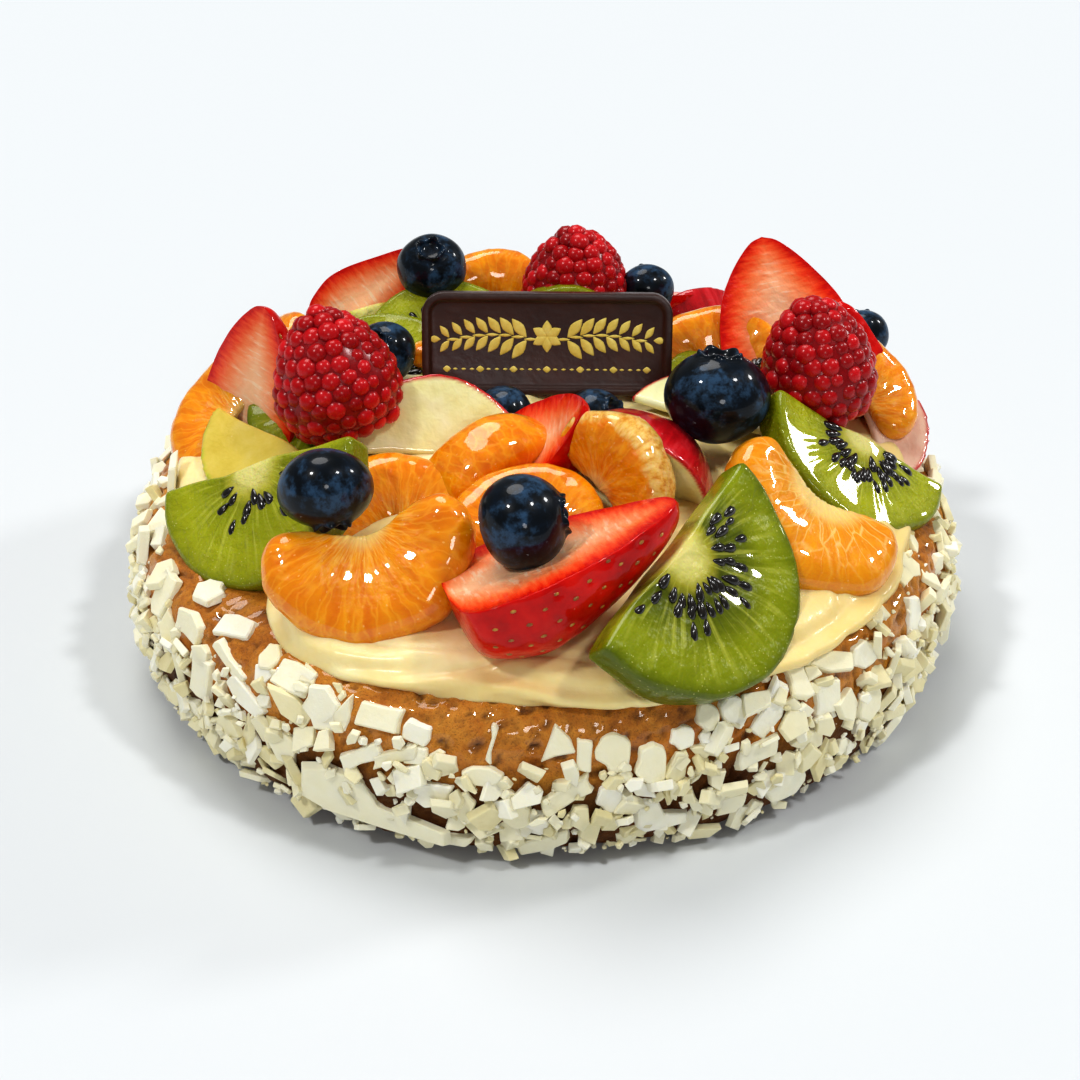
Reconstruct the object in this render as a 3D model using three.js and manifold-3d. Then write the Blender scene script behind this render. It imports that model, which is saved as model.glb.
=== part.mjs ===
// A glazed fruit tart: a round sponge case rolled in white chocolate shards, a layer of pastry cream,
// and a heap of cut fruit and berries with a chocolate plaque leaning in the middle.
// Millimetres, +Z up, origin on the ground at the centre of the case. The front of the tart faces -Y.
import * as THREE from 'three';
import { mergeVertices } from 'three/addons/utils/BufferGeometryUtils.js';
import Module from 'manifold-3d';

const wasm = await Module();
wasm.setup();

// Driving dimensions
const CASE_HEIGHT = 33.4; // the sponge at its highest ring
const CREAM_HEIGHT = 44; // the top of the pastry cream
const CREAM_RADIUS = 76.5; // the cream's usual outline
const GAP = 0.3; // clearance between pieces that touch

// Facet counts
const CASE_SIDES = 34;
const CREAM_SIDES = 34;

const degrees = Math.PI / 180;
const UP = new THREE.Vector3(0, 0, 1);
const RIGHT = new THREE.Vector3(1, 0, 0);

// Seeded random numbers: the next whole number of a Lehmer sequence, as a share of its modulus.
let seed = 2024;
function random() {
  const MULTIPLIER = 16807;
  const MODULUS = 2147483647;
  seed = (seed * MULTIPLIER) % MODULUS;
  return seed / MODULUS;
}

// A bell curve of an angle in degrees, 1 at its centre
function bell(angle, centre, width) {
  const off = ((angle - centre + 540) % 360) - 180;
  return Math.exp(-((off / width) ** 2));
}

// Geometry and solids

function solidOf(geometry) {
  const bare = geometry.clone();
  bare.deleteAttribute('normal');
  bare.deleteAttribute('uv');
  const merged = mergeVertices(bare, 1e-3);
  return new wasm.Manifold(
    new wasm.Mesh({
      numProp: 3,
      vertProperties: merged.attributes.position.array,
      triVerts: new Uint32Array(merged.index.array),
    }),
  );
}

function geometryOf(solid) {
  const mesh = solid.getMesh();
  const stride = mesh.numProp;
  const positions = new Float32Array(mesh.numVert * 3);
  for (let i = 0; i < mesh.numVert; i++) {
    positions.set(mesh.vertProperties.subarray(i * stride, i * stride + 3), i * 3);
  }
  const geometry = new THREE.BufferGeometry();
  geometry.setAttribute('position', new THREE.BufferAttribute(positions, 3));
  geometry.setIndex(new THREE.BufferAttribute(mesh.triVerts, 1));
  const faceted = geometry.toNonIndexed();
  faceted.computeVertexNormals();
  return faceted;
}

// A solid of revolution about Z from [radius, height] pairs that start and end on the axis
function revolve(profile, sides) {
  const points = profile.map(([r, z]) => new THREE.Vector2(r, z));
  return new THREE.LatheGeometry(points, sides).rotateX(Math.PI / 2);
}

// Moves every vertex of a geometry by a function that changes the point it is given
function deform(geometry, change) {
  const position = geometry.attributes.position;
  const point = new THREE.Vector3();
  for (let i = 0; i < position.count; i++) {
    point.fromBufferAttribute(position, i);
    change(point);
    position.setXYZ(i, point.x, point.y, point.z);
  }
  return geometry;
}

// The main body of a solid, without the scraps that a cut can leave
function largestBody(solid) {
  const bodies = solid.decompose();
  return bodies.reduce((best, body) => (body.volume() > best.volume() ? body : best));
}

// The turn of a piece. Its local Z, the way its face looks, points to compass direction `turn`
// (0 is the front, 90 the right) at `tilt` degrees above the horizon. Then it spins about that face.
function orientation(turn, tilt, spin) {
  const about = (axis, angle) => new THREE.Quaternion().setFromAxisAngle(axis, angle * degrees);
  return about(UP, turn).multiply(about(RIGHT, 90 - tilt)).multiply(about(UP, spin));
}

// Sponge case

const CASE_PROFILE = [
  [0, 0],
  [77, 0],
  [81.6, 4],
  [83.5, 13],
  [83.3, 22],
  [80.6, 29.8],
  [75.5, 33],
  [0, CASE_HEIGHT],
];

// How far the case swells out at an angle, as a share of its radius
function caseSwell(angle) {
  return 0.006 * Math.sin(3 * angle + 0.5) + 0.004 * Math.sin(7 * angle + 2);
}

function caseGeometry(grow) {
  const profile = CASE_PROFILE.map(([r, z]) => [r > 0 ? r + grow : 0, z > CASE_HEIGHT / 2 ? z + grow : z]);
  return deform(revolve(profile, CASE_SIDES), (point) => {
    const swell = 1 + caseSwell(Math.atan2(point.y, point.x));
    point.x *= swell;
    point.y *= swell;
  });
}

// The case's radius at a height, between the profile's corners
function caseRadiusAt(height) {
  const side = CASE_PROFILE.slice(1, -1);
  for (let i = 1; i < side.length; i++) {
    const [r0, z0] = side[i - 1];
    const [r1, z1] = side[i];
    if (height <= z1) {
      return r0 + ((r1 - r0) * (height - z0)) / (z1 - z0);
    }
  }
  return side[side.length - 1][0];
}

// White chocolate shards, pressed on the case's side and rim

const SHARD_COUNT = 16;
const SHARD_THICKNESS = [1.2, 2.0];
const SHARD_RADIUS = [3, 6.2];
const SHARD_LOWEST = 3.2;
const SHARD_HIGHEST = 31.5;
const SHARD_TRIES = 2400;

// Outlines of the broken plates, each one unit wide and tall
const SHARD_SHAPES = {
  slab: [[-0.5, -0.4], [0.42, -0.5], [0.5, 0.42], [-0.4, 0.5]],
  kite: [[-0.5, -0.12], [-0.1, -0.5], [0.42, -0.38], [0.5, 0.2], [0.08, 0.5], [-0.34, 0.4]],
  blade: [[-0.5, -0.5], [0.5, -0.28], [0.34, 0.1], [-0.1, 0.5]],
  oval: [[-0.5, 0.08], [-0.34, -0.36], [0.05, -0.5], [0.4, -0.3], [0.5, 0.1], [0.22, 0.45], [-0.25, 0.5]],
  smear: [[-0.44, -0.34], [-0.28, -0.5], [0.1, -0.46], [0.5, -0.4], [0.48, -0.1], [0.05, 0],
    [-0.06, 0.42], [-0.3, 0.5], [-0.46, 0.32]],
};

// The plates that the photograph shows in front and at the sides: outline, compass angle (0 in front,
// 90 at the right), height, width, tallness, spin, and how far the plate looks up where that isn't
// the way the case does
const LAID_SHARDS = [
  ['smear', -21, 11.3, 31.3, 11.0, -6],
  ['kite', -28, 27.6, 9.1, 9.1, 0],
  ['blade', -25, 27.7, 5.1, 8.9, -25],
  ['slab', -33, 30.3, 8.9, 5.5, 0],
  ['slab', -20, 29.0, 9.2, 5.2, 5],
  ['slab', -15, 27.7, 5.0, 4.6, -10],
  ['slab', -15, 23.7, 4.6, 4.4, 0],
  ['slab', -6, 27.1, 1.6, 7.8, -8],
  ['oval', -7, 21.5, 7.6, 4.1, 0],
  ['blade', 2, 27.3, 6.5, 7.3, 0],
  ['slab', 5, 25.0, 3.1, 6.9, 0],
  ['slab', -22, 21.2, 10.0, 4.0, 35],
  ['slab', -17.5, 22.9, 9.7, 2.9, 28],
  ['slab', -13, 16.7, 8.2, 4.8, 0],
  ['kite', -9, 14.2, 3.9, 7.4, 0],
  ['kite', -3, 13.3, 5.6, 7.1, 0],
  ['slab', 3, 17.1, 11.4, 4.4, 35],
  ['slab', 0, 5.7, 11.3, 4.1, 25],
  ['slab', -13, 6.0, 14.8, 3.1, -3],
  ['kite', 8.5, 25.0, 6.6, 8.4, 0],
  ['kite', 13, 22.1, 6.0, 8.6, 0],
  ['kite', 8, 15.8, 5.3, 7.2, 0],
  ['smear', 14.5, 10.8, 10.9, 8.3, 0],
  ['kite', 17, 25.8, 5.0, 5.1, 0],
  ['kite', 20.5, 28.5, 4.7, 5.9, 0],
  ['kite', 24, 28.3, 5.0, 7.0, 20],
  ['slab', 29, 26.9, 4.8, 12.1, -35],
  ['slab', 34, 30.0, 5.0, 8.2, 0],
  ['slab', 38, 24.2, 7.1, 7.6, 0],
  ['slab', 40, 30.1, 11.3, 3.6, -25],
  ['kite', 46, 27.7, 8.4, 6.0, 0],
  ['slab', 35, 17.4, 6.2, 5.7, 10],
  ['kite', 46, 17.6, 7.5, 9.6, 10],
  ['oval', 32, 9.0, 9.9, 8.4, 0],
  ['slab', 27, 19.4, 9.9, 4.7, 12],
  ['slab', 24, 8.6, 5.9, 6.0, 0],
  ['kite', -55, 33.0, 8.2, 7.3, 0],
  ['slab', -54, 27.8, 10.3, 4.8, 5],
  ['slab', -46, 31.7, 9.5, 4.7, 20],
  ['kite', -38, 31.0, 4.6, 6.2, 0],
  ['slab', -62, 29.1, 6.8, 9.4, 5],
  ['slab', -44, 27.6, 11.3, 3.3, -25],
  ['slab', -40, 23.4, 11.2, 3.5, -20],
  ['slab', -49, 21.7, 6.9, 10.3, 0],
  ['slab', 59, 25.5, 5.9, 9.9, -15],
  ['slab', 64, 18.2, 3.7, 10.2, -20],
  ['blade', -77, 31.6, 13, 12, 70, 66],
  ['slab', -86, 33, 5, 17, -8, 8],
  ['kite', -92, 32.5, 6, 9, 20, 30],
  ['blade', 82, 32, 9, 10, 160, 50],
];
const LAID_THICKNESS = 1.7;

function between([low, high], share) {
  return low + (high - low) * share;
}

function shardGeometry() {
  const corners = 4 + Math.floor(random() * 2);
  const radius = between(SHARD_RADIUS, random() ** 1.6);
  const stretch = 0.65 + 0.7 * random();
  const shape = new THREE.Shape();
  for (let i = 0; i < corners; i++) {
    const angle = ((i + 0.5 * random()) / corners) * 2 * Math.PI;
    const reach = radius * (0.75 + 0.35 * random());
    const x = reach * Math.cos(angle) * stretch;
    const y = reach * Math.sin(angle) / stretch;
    if (i === 0) {
      shape.moveTo(x, y);
    } else {
      shape.lineTo(x, y);
    }
  }
  const thickness = between(SHARD_THICKNESS, random());
  const geometry = new THREE.ExtrudeGeometry(shape, { depth: thickness, bevelEnabled: false });
  return { geometry: geometry.translate(0, 0, -thickness / 2), radius };
}

// How far the case's side looks up at a height, in degrees
function sideSlope(height) {
  return height > 26 ? (height - 26) * 11 : (height - 13) * 1.2;
}

// A place on the case's side at a compass angle and a height
function onSide(angle, height) {
  const swell = 1 + caseSwell(angle * degrees - Math.PI / 2);
  const out = caseRadiusAt(height) * swell + 0.35;
  return new THREE.Vector3(out * Math.sin(angle * degrees), -out * Math.cos(angle * degrees), height);
}

// The plates of the table, and others spread over the rest of the side. These keep their distance from
// those before them. All stay out of `taken`.
function shards(taken) {
  const hits = (solid, other) => meets(other, solid) && solid.intersect(other).volume() > 0;
  const clear = (solid) => !taken.some((other) => hits(solid, other));
  const placed = [];
  const solids = [];
  for (const [shape, angle, height, wide, tall, spin, slope = sideSlope(height)] of LAID_SHARDS) {
    const corners = SHARD_SHAPES[shape].map(([x, y]) => new THREE.Vector2(x * wide, y * tall));
    const outline = new THREE.Shape(corners);
    const plate = new THREE.ExtrudeGeometry(outline, { depth: LAID_THICKNESS, bevelEnabled: false });
    const centre = onSide(angle, height);
    plate.translate(0, 0, -LAID_THICKNESS / 2).applyQuaternion(orientation(angle, slope, spin));
    const solid = solidOf(plate.translate(centre.x, centre.y, centre.z));
    if (clear(solid)) {
      solids.push(solid);
    }
    placed.push({ centre, radius: (wide + tall) / 3.4 });
  }
  const laid = solids.length;
  for (let i = 0; i < SHARD_TRIES && solids.length < laid + SHARD_COUNT; i++) {
    const { geometry, radius } = shardGeometry();
    const angle = random() * 360;
    const height = between([SHARD_LOWEST, SHARD_HIGHEST], random());
    const lean = (random() - 0.5) * 50;
    const yaw = (random() - 0.5) * 40;
    const spin = random() * 360;
    const centre = onSide(angle, height);
    const spacing = radius * 0.72;
    if (placed.some((other) => other.centre.distanceTo(centre) < spacing + other.radius * 0.72)) {
      continue;
    }
    const turn = orientation(angle + yaw, sideSlope(height) + lean, spin);
    geometry.applyQuaternion(turn).translate(centre.x, centre.y, centre.z);
    geometry.computeBoundingBox();
    if (geometry.boundingBox.min.z < 0.2) {
      continue;
    }
    const solid = solidOf(geometry);
    if (!clear(solid)) {
      continue;
    }
    placed.push({ centre, radius });
    solids.push(solid);
  }
  return solids;
}

// Pastry cream

// The cream's outline at an angle in degrees: wide in front where it slumps over the rim,
// and drawn in at the left of the front, where the case shows.
function creamEdge(angle) {
  return CREAM_RADIUS
    + 3.6 * bell(angle, -68, 36)
    - 11 * bell(angle, -145, 13)
    + 0.8 * Math.sin(5 * angle * degrees)
    + 0.5 * Math.sin(9 * angle * degrees + 1);
}

const CREAM_FOOT = 27; // where the cream's blank starts, inside the case
const CREAM_TOP = [
  [1, CREAM_FOOT],
  [1.0, 31.8],
  [0.992, 34.2],
  [0.955, 37.2],
  [0.89, 38.6],
  [0.78, 38.8],
  [0.6, 41.5],
  [0.3, CREAM_HEIGHT],
  [0, CREAM_HEIGHT],
];

function creamGeometry(grow) {
  const profile = [[0, CREAM_FOOT], ...CREAM_TOP.map(([share, z]) => [share, z])];
  return deform(revolve(profile, CREAM_SIDES), (point) => {
    const share = Math.hypot(point.x, point.y);
    const angle = Math.atan2(point.y, point.x) / degrees;
    const edge = creamEdge(angle) + grow;
    point.x *= edge;
    point.y *= edge;
    if (point.z > CREAM_FOOT) {
      const ripple = 0.7 * Math.sin(4 * angle * degrees + 6 * share) + 0.5 * Math.sin(11 * angle * degrees);
      point.z += grow + ripple * Math.min(1, 3 * (1 - share) + 0.35);
    }
  });
}

// Fruit, each in its own frame: Z is the way its face looks, and Y the way it reaches

// A slice of kiwi, or a part of one from `from` to `to` degrees, with its core on the origin
function kiwi({ radius = 23.5, thick = 7, from = 0, to = 180, oval = 0.95 }, grow) {
  const EDGE = 1.1;
  const reach = radius - EDGE;
  const shape = new THREE.Shape();
  const whole = to - from >= 360;
  const steps = Math.max(6, Math.round((to - from) / 20));
  if (to - from < 175) {
    shape.moveTo(0, 0);
  }
  for (let i = 0; i < steps + (whole ? 0 : 1); i++) {
    const angle = (from + ((to - from) * i) / steps) * degrees;
    const x = reach * Math.cos(angle);
    const y = reach * oval * Math.sin(angle);
    if (i === 0 && to - from >= 175) {
      shape.moveTo(x, y);
    } else {
      shape.lineTo(x, y);
    }
  }
  const geometry = new THREE.ExtrudeGeometry(shape, {
    depth: thick - 2 * EDGE,
    bevelThickness: EDGE + grow,
    bevelSize: EDGE + grow,
    bevelSegments: 1,
  });
  return geometry.translate(0, 0, -(thick - EDGE));
}

// A mandarin segment: a fat crescent round the origin, thick at its outer side
function mandarin({ outer = 21, inner = 2.6, sweep = 190, thick = 14.5 }, grow) {
  const AROUND = 8;
  const ALONG = 9;
  const FULLNESS = 2.6;
  const middle = (outer + inner) / 2;
  const half = (outer - inner) / 2 + grow;
  const geometry = new THREE.SphereGeometry(1, AROUND, ALONG);
  return deform(geometry, (point) => {
    const along = point.y;
    const ring = Math.hypot(point.x, point.z) || 1;
    const across = point.x / ring;
    const side = point.z / ring;
    const full = (1 - Math.min(1, Math.abs(along)) ** FULLNESS) ** (1 / FULLNESS);
    const angle = -along * ((sweep / 2) * degrees + grow / middle);
    const radius = middle + half * full * across;
    const wedge = 0.62 + 0.38 * across;
    const flat = Math.sign(side) * Math.abs(side) ** 0.8;
    point.set(radius * Math.sin(angle), radius * Math.cos(angle), (thick / 2 + grow) * full * flat * wedge);
  });
}

// A strawberry cut lengthwise: its cut face on the XY plane, its tip towards Y,
// and its own axis `over` beneath that face
function strawberry({ long = 36, wide = 27, over = 0 }, grow) {
  const PROFILE = [[0, 0], [0.36, 0.0], [0.8, 0.05], [1, 0.24], [0.96, 0.42], [0.78, 0.63], [0.5, 0.83],
    [0.22, 0.96], [0, 1]];
  const SIDES = 12;
  const points = PROFILE.map(([r, y]) => new THREE.Vector2(
    r * (wide / 2) + (r > 0 ? grow : 0), (y - 0.5) * (long + 2 * grow)));
  const whole = new THREE.LatheGeometry(points, SIDES).rotateY(Math.PI / SIDES).translate(0, 0, -over);
  const below = new THREE.BoxGeometry(2 * wide, 2 * long, 2 * wide).translate(0, 0, grow - wide);
  return solidOf(whole).intersect(solidOf(below));
}

// A wedge of apple: its flesh on the XY plane, its skin towards Y, its core end cut away
function apple({ radius = 27, core = 5, wedge = 24, long = 0.92 }, grow) {
  const whole = new THREE.SphereGeometry(radius + grow, 14, 10).rotateZ(Math.PI / 2).scale(long, 1, 1);
  const LEAST = 1.6;
  const reach = 2 * radius;
  const drop = reach * Math.tan(wedge * degrees);
  const shape = new THREE.Shape();
  shape.moveTo(core - grow, grow);
  shape.lineTo(reach, grow);
  shape.lineTo(reach, -drop - LEAST - grow);
  shape.lineTo(core - grow, -LEAST - grow);
  const wide = new THREE.ExtrudeGeometry(shape, { depth: 4 * radius, bevelEnabled: false });
  wide.translate(0, 0, -2 * radius);
  const basis = new THREE.Matrix4().makeBasis(
    new THREE.Vector3(0, 1, 0), new THREE.Vector3(0, 0, 1), new THREE.Vector3(1, 0, 0));
  return solidOf(whole).intersect(solidOf(wide.applyMatrix4(basis)));
}

// Where the drupelets of a raspberry lie: staggered rings round its axis, and one on its tip
function drupelets(wide, tall, bead) {
  const RINGS = [[0.8, 0.02], [1, 0.2], [0.97, 0.4], [0.82, 0.59], [0.58, 0.77], [0.22, 0.92]];
  const centres = [];
  RINGS.forEach(([share, level], row) => {
    const ring = share * (wide / 2 - bead);
    const count = Math.round((2 * Math.PI * ring) / (bead * 1.6));
    for (let i = 0; i < count; i++) {
      const angle = ((i + 0.5 * (row % 2)) / count) * 2 * Math.PI;
      const height = (level - 0.5) * (tall - 2 * bead);
      centres.push(new THREE.Vector3(ring * Math.cos(angle), ring * Math.sin(angle), height));
    }
  });
  return centres;
}

// A raspberry, its tip towards Z: a ball whose surface follows the outermost drupelet at each point
function raspberry({ wide = 23.5, tall = 22 }, grow) {
  const BEAD = 3.1;
  const FACETS = 3;
  const centres = drupelets(wide, tall, BEAD);
  return deform(new THREE.IcosahedronGeometry(1, FACETS), (point) => {
    const towards = point.clone().normalize();
    let reach = 0;
    for (const centre of centres) {
      const along = centre.dot(towards);
      const off = BEAD ** 2 - (centre.lengthSq() - along ** 2);
      if (off > 0) {
        reach = Math.max(reach, along + Math.sqrt(off));
      }
    }
    point.copy(towards).multiplyScalar(Math.max(reach, 0.36 * wide) + grow);
  });
}

// A blueberry: a flattened ball with its crown towards Z
function blueberry({ radius = 8.5, flat = 0.9 }, grow) {
  const SIDES = 10;
  const LEVELS = [-90, -58, -27, 3, 33, 58];
  const ball = LEVELS.map((level, i) => [
    i === 0 ? 0 : (radius + grow) * Math.cos(level * degrees),
    (radius + grow) * flat * Math.sin(level * degrees),
  ]);
  const lip = [0.36, 0.93];
  const pit = [[0.24, 0.8], [0, 0.76]];
  const crown = [lip, ...pit].map(([r, z]) => [r * radius + (r > 0.3 ? grow : 0), z * radius * flat + grow]);
  return revolve([...ball, ...crown], SIDES);
}

// The chocolate plaque: a rounded tablet with a raised rim round a bare panel
function plaque({ wide = 51.5, tall = 21, thick = 3.8, corner = 4.5, rim = 1.5, sunk = 0.7 }, grow) {
  const rounded = (width, height, radius) => {
    const shape = new THREE.Shape();
    const x = width / 2 - radius;
    const y = height / 2 - radius;
    shape.absarc(x, y, radius, 0, 90 * degrees);
    shape.absarc(-x, y, radius, 90 * degrees, 180 * degrees);
    shape.absarc(-x, -y, radius, 180 * degrees, 270 * degrees);
    shape.absarc(x, -y, radius, 270 * degrees, 360 * degrees);
    return shape;
  };
  const EDGE = 0.5;
  const tablet = new THREE.ExtrudeGeometry(rounded(wide - 2 * EDGE, tall - 2 * EDGE, corner - EDGE), {
    depth: thick - 2 * EDGE,
    bevelThickness: EDGE + grow,
    bevelSize: EDGE + grow,
    bevelSegments: 1,
    curveSegments: 3,
  });
  tablet.translate(0, 0, -(thick - EDGE));
  if (grow > 0) {
    return tablet;
  }
  const panel = new THREE.ExtrudeGeometry(rounded(wide - 2 * rim, tall - 2 * rim, corner - rim), {
    depth: 2 * sunk,
    bevelEnabled: false,
    curveSegments: 2,
  });
  return solidOf(tablet).subtract(solidOf(panel.translate(0, 0, -sunk)));
}

// Colours, from the photograph's own pieces
function finish(color, roughness) {
  return new THREE.MeshStandardMaterial({ color, roughness, metalness: 0 });
}
const CASE_FINISH = finish(0xb07030, 0.6);
const CREAM_FINISH = finish(0xf0e0a8, 0.4);
const KIWI = { make: kiwi, finish: finish(0x7da021, 0.2) };
const MANDARIN = { make: mandarin, finish: finish(0xf39a1e, 0.2) };
const STRAWBERRY = { make: strawberry, finish: finish(0xd8281e, 0.2) };
const APPLE = { make: apple, finish: finish(0xe9d9a0, 0.2) };
const RASPBERRY = { make: raspberry, finish: finish(0xb0122a, 0.3) };
const BLUEBERRY = { make: blueberry, finish: finish(0x1c2638, 0.35) };
const PLAQUE = { make: plaque, finish: finish(0x3a2320, 0.4) };

// What lies on the cream. A piece keeps its form where it meets those listed after it.
// at is the place of its own origin; turn, tilt and spin are degrees, as in orientation().
const pieces = [
  ['plaque', PLAQUE, { at: [1, 14.5, 55.2], turn: -1, tilt: 18, spin: 0 }],
  ['raspberry_left', RASPBERRY, {
    at: [-41.2, -3.5, 59.4], turn: -120, tilt: 75, spin: 0, wide: 26, tall: 26
  }],
  ['raspberry_right', RASPBERRY, { at: [54.1, 0.5, 60], turn: -140, tilt: 79, spin: 0, wide: 24, tall: 26 }],
  ['raspberry_back', RASPBERRY, { at: [7.4, 46.5, 56.6], turn: 0, tilt: 88, spin: 0, wide: 24.5, tall: 24 }],
  ['blueberry_front', BLUEBERRY, { at: [-3.3, -61, 58.6], turn: 95, tilt: 10, spin: 0, radius: 8.5 }],
  ['blueberry_left', BLUEBERRY, {
    at: [-38.6, -45.4, 56], turn: 15, tilt: -50, spin: 0, radius: 8.7, flat: 0.84
  }],
  ['blueberry_right', BLUEBERRY, { at: [33.8, -12, 57], turn: 170, tilt: 76, spin: 0, radius: 10.1 }],
  ['blueberry_back_left', BLUEBERRY, { at: [-24.3, 49.7, 57], turn: 0, tilt: 60, spin: 0, radius: 7.7 }],
  ['blueberry_back_right', BLUEBERRY, { at: [23, 46.5, 52.6], turn: 180, tilt: 30, spin: 0, radius: 6.2 }],
  ['blueberry_right_edge', BLUEBERRY, { at: [68.9, 32, 49], turn: 180, tilt: 30, spin: 0, radius: 5.7 }],
  ['blueberry_beside_plaque', BLUEBERRY, {
    at: [-33.2, 21.3, 50], turn: -20, tilt: 50, spin: 0, radius: 6.8
  }],
  ['blueberry_rear', BLUEBERRY, { at: [-29, 67, 44.5], turn: 170, tilt: 45, spin: 0, radius: 7.2 }],
  ['mandarin_front', MANDARIN, { at: [-32.3, -50.5, 52.7], turn: -11, tilt: 33, spin: -160, outer: 22.8 }],
  ['strawberry_front', STRAWBERRY, {
    at: [3.4, -61.4, 54], turn: -115, tilt: 70, spin: 40, long: 43, wide: 29, over: 1
  }],
  ['kiwi_front', KIWI, { at: [24, -62.5, 53.4], turn: 45, tilt: 43, spin: -161, radius: 24.8, oval: 1.08 }],
  ['mandarin_right', MANDARIN, { at: [52.8, -32.9, 48.5], turn: 30, tilt: 49, spin: 125, outer: 22 }],
  ['mandarin_middle', MANDARIN, {
    at: [10.5, -28.5, 46], turn: -30, tilt: 28, spin: -32, outer: 15.5, inner: 0.8
  }],
  ['mandarin_heap', MANDARIN, {
    at: [-8.5, -15.5, 36.5], turn: 38, tilt: -12, spin: 37, outer: 19, thick: 18
  }],
  ['strawberry_middle', STRAWBERRY, {
    at: [-1.8, -17.2, 49.7], turn: -78, tilt: 36, spin: -26, long: 31.8, wide: 24.6
  }],
  ['kiwi_left', KIWI, {
    at: [-54.5, -26.5, 49.5], turn: -44, tilt: 44, spin: -143, radius: 22.5, oval: 1.05
  }],
  ['apple_middle', APPLE, { at: [-21, -14, 39.5], turn: 8, tilt: 36, spin: -5, radius: 21 }],
  ['kiwi_right', KIWI, { at: [62.9, -11.8, 47.5], turn: 54, tilt: 50, spin: 123, radius: 21 }],
  ['strawberry_left', STRAWBERRY, {
    at: [-58.8, 5.9, 51.4], turn: -42, tilt: 12, spin: -7, long: 32.4, wide: 26
  }],
  ['strawberry_tall', STRAWBERRY, {
    at: [50.2, 27.4, 57], turn: 9, tilt: 42, spin: 8, long: 32.6, wide: 29
  }],
  ['apple_red', APPLE, { at: [15, -22, 38.8], turn: 180, tilt: -36, spin: 32, radius: 19.2, wedge: 60 }],
  ['mandarin_low', MANDARIN, { at: [-27, -34, 38], turn: 0, tilt: 60, spin: 15, outer: 18 }],
  ['kiwi_under_raspberry', KIWI, { at: [-44, 3, 46.5], turn: -5, tilt: 58, spin: 180, radius: 16 }],
  ['apple_left', APPLE, { at: [-50, -2.5, 47], turn: -45, tilt: 68, spin: 180, radius: 21, wedge: 20 }],
  ['mandarin_left_edge', MANDARIN, { at: [-61, 4, 43], turn: -60, tilt: 50, spin: 95, outer: 18.5 }],
  ['kiwi_back_low', KIWI, { at: [-34.5, 24, 42], turn: -5, tilt: 60, spin: 15, radius: 19 }],
  ['kiwi_back_high', KIWI, { at: [-22, 33.5, 46], turn: -5, tilt: 58, spin: 5, radius: 18 }],
  ['strawberry_back_left', STRAWBERRY, {
    at: [-38.5, 57, 48], turn: -5, tilt: 30, spin: -48, long: 29, wide: 17
  }],
  ['mandarin_back', MANDARIN, { at: [-11, 56, 40.6], turn: 0, tilt: 40, spin: 0, outer: 17 }],
  ['apple_back', APPLE, { at: [-11, 61.6, 36.4], turn: 0, tilt: 30, spin: 0, radius: 18 }],
  ['kiwi_behind_plaque', KIWI, { at: [5, 31.5, 44.8], turn: 0, tilt: 12, spin: 0, radius: 15 }],
  ['apple_back_right', APPLE, { at: [33, 61, 33], turn: -160, tilt: 20, spin: 0, radius: 18 }],
  ['mandarin_back_right', MANDARIN, { at: [37, 20, 44], turn: -10, tilt: 50, spin: 15, outer: 17 }],
  ['strawberry_right', STRAWBERRY, {
    at: [62.5, 22, 49.5], turn: 150, tilt: 10, spin: 0, long: 26, wide: 24
  }],
  ['mandarin_right_edge', MANDARIN, { at: [64, 6.5, 47], turn: 62, tilt: 48, spin: -78, outer: 16 }],
  ['apple_right_edge', APPLE, { at: [62, 7, 43.5], turn: 40, tilt: 60, spin: -110, radius: 20 }],
  ['blueberry_low_left', BLUEBERRY, { at: [-8, 3, 44.5], turn: -40, tilt: 30, spin: 0, radius: 6.5 }],
  ['blueberry_low_right', BLUEBERRY, { at: [11, 2, 44.5], turn: 60, tilt: 40, spin: 0, radius: 6.5 }],
  ['apple_low_right', APPLE, { at: [33, -6, 45.5], turn: 0, tilt: 74, spin: -20, radius: 20 }],
  ['mandarin_low_front', MANDARIN, { at: [-2, -42, 42.5], turn: 0, tilt: 74, spin: 5, outer: 17.5 }],
  ['mandarin_behind_plaque', MANDARIN, { at: [-14, 27, 46], turn: 180, tilt: 66, spin: 175, outer: 18 }],
  ['strawberry_behind_plaque', STRAWBERRY, {
    at: [21, 27, 46.5], turn: 175, tilt: 70, spin: 80, long: 30, wide: 22
  }],
  ['kiwi_low_right', KIWI, { at: [42, 12, 47], turn: 10, tilt: 74, spin: 30, radius: 18 }],
  ['apple_rear_left', APPLE, { at: [-40, 25, 48], turn: -130, tilt: 58, spin: 175, radius: 22 }],
  ['kiwi_rear_left', KIWI, { at: [-40, 52, 46], turn: -145, tilt: 52, spin: 180, radius: 20 }],
  ['mandarin_rear', MANDARIN, { at: [8, 62, 46], turn: 180, tilt: 50, spin: 170, outer: 18 }],
  ['strawberry_rear', STRAWBERRY, { at: [33, 64, 44], turn: 165, tilt: 66, spin: 130, long: 33, wide: 23 }],
  ['kiwi_rear_right', KIWI, { at: [50, 48, 45], turn: 132, tilt: 52, spin: 190, radius: 19 }],
  ['mandarin_rear_left', MANDARIN, { at: [-58, 34, 45], turn: -112, tilt: 50, spin: 175, outer: 19 }],
];

function meets(a, b) {
  const p = a.boundingBox();
  const q = b.boundingBox();
  return [0, 1, 2].every((k) => p.min[k] < q.max[k] && q.min[k] < p.max[k]);
}

function asSolid(made) {
  return made.isBufferGeometry ? solidOf(made) : made;
}

const root = new THREE.Group();

function addMesh(name, geometry, material) {
  const mesh = new THREE.Mesh(geometry, material);
  mesh.name = name;
  root.add(mesh);
  return mesh;
}

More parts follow.
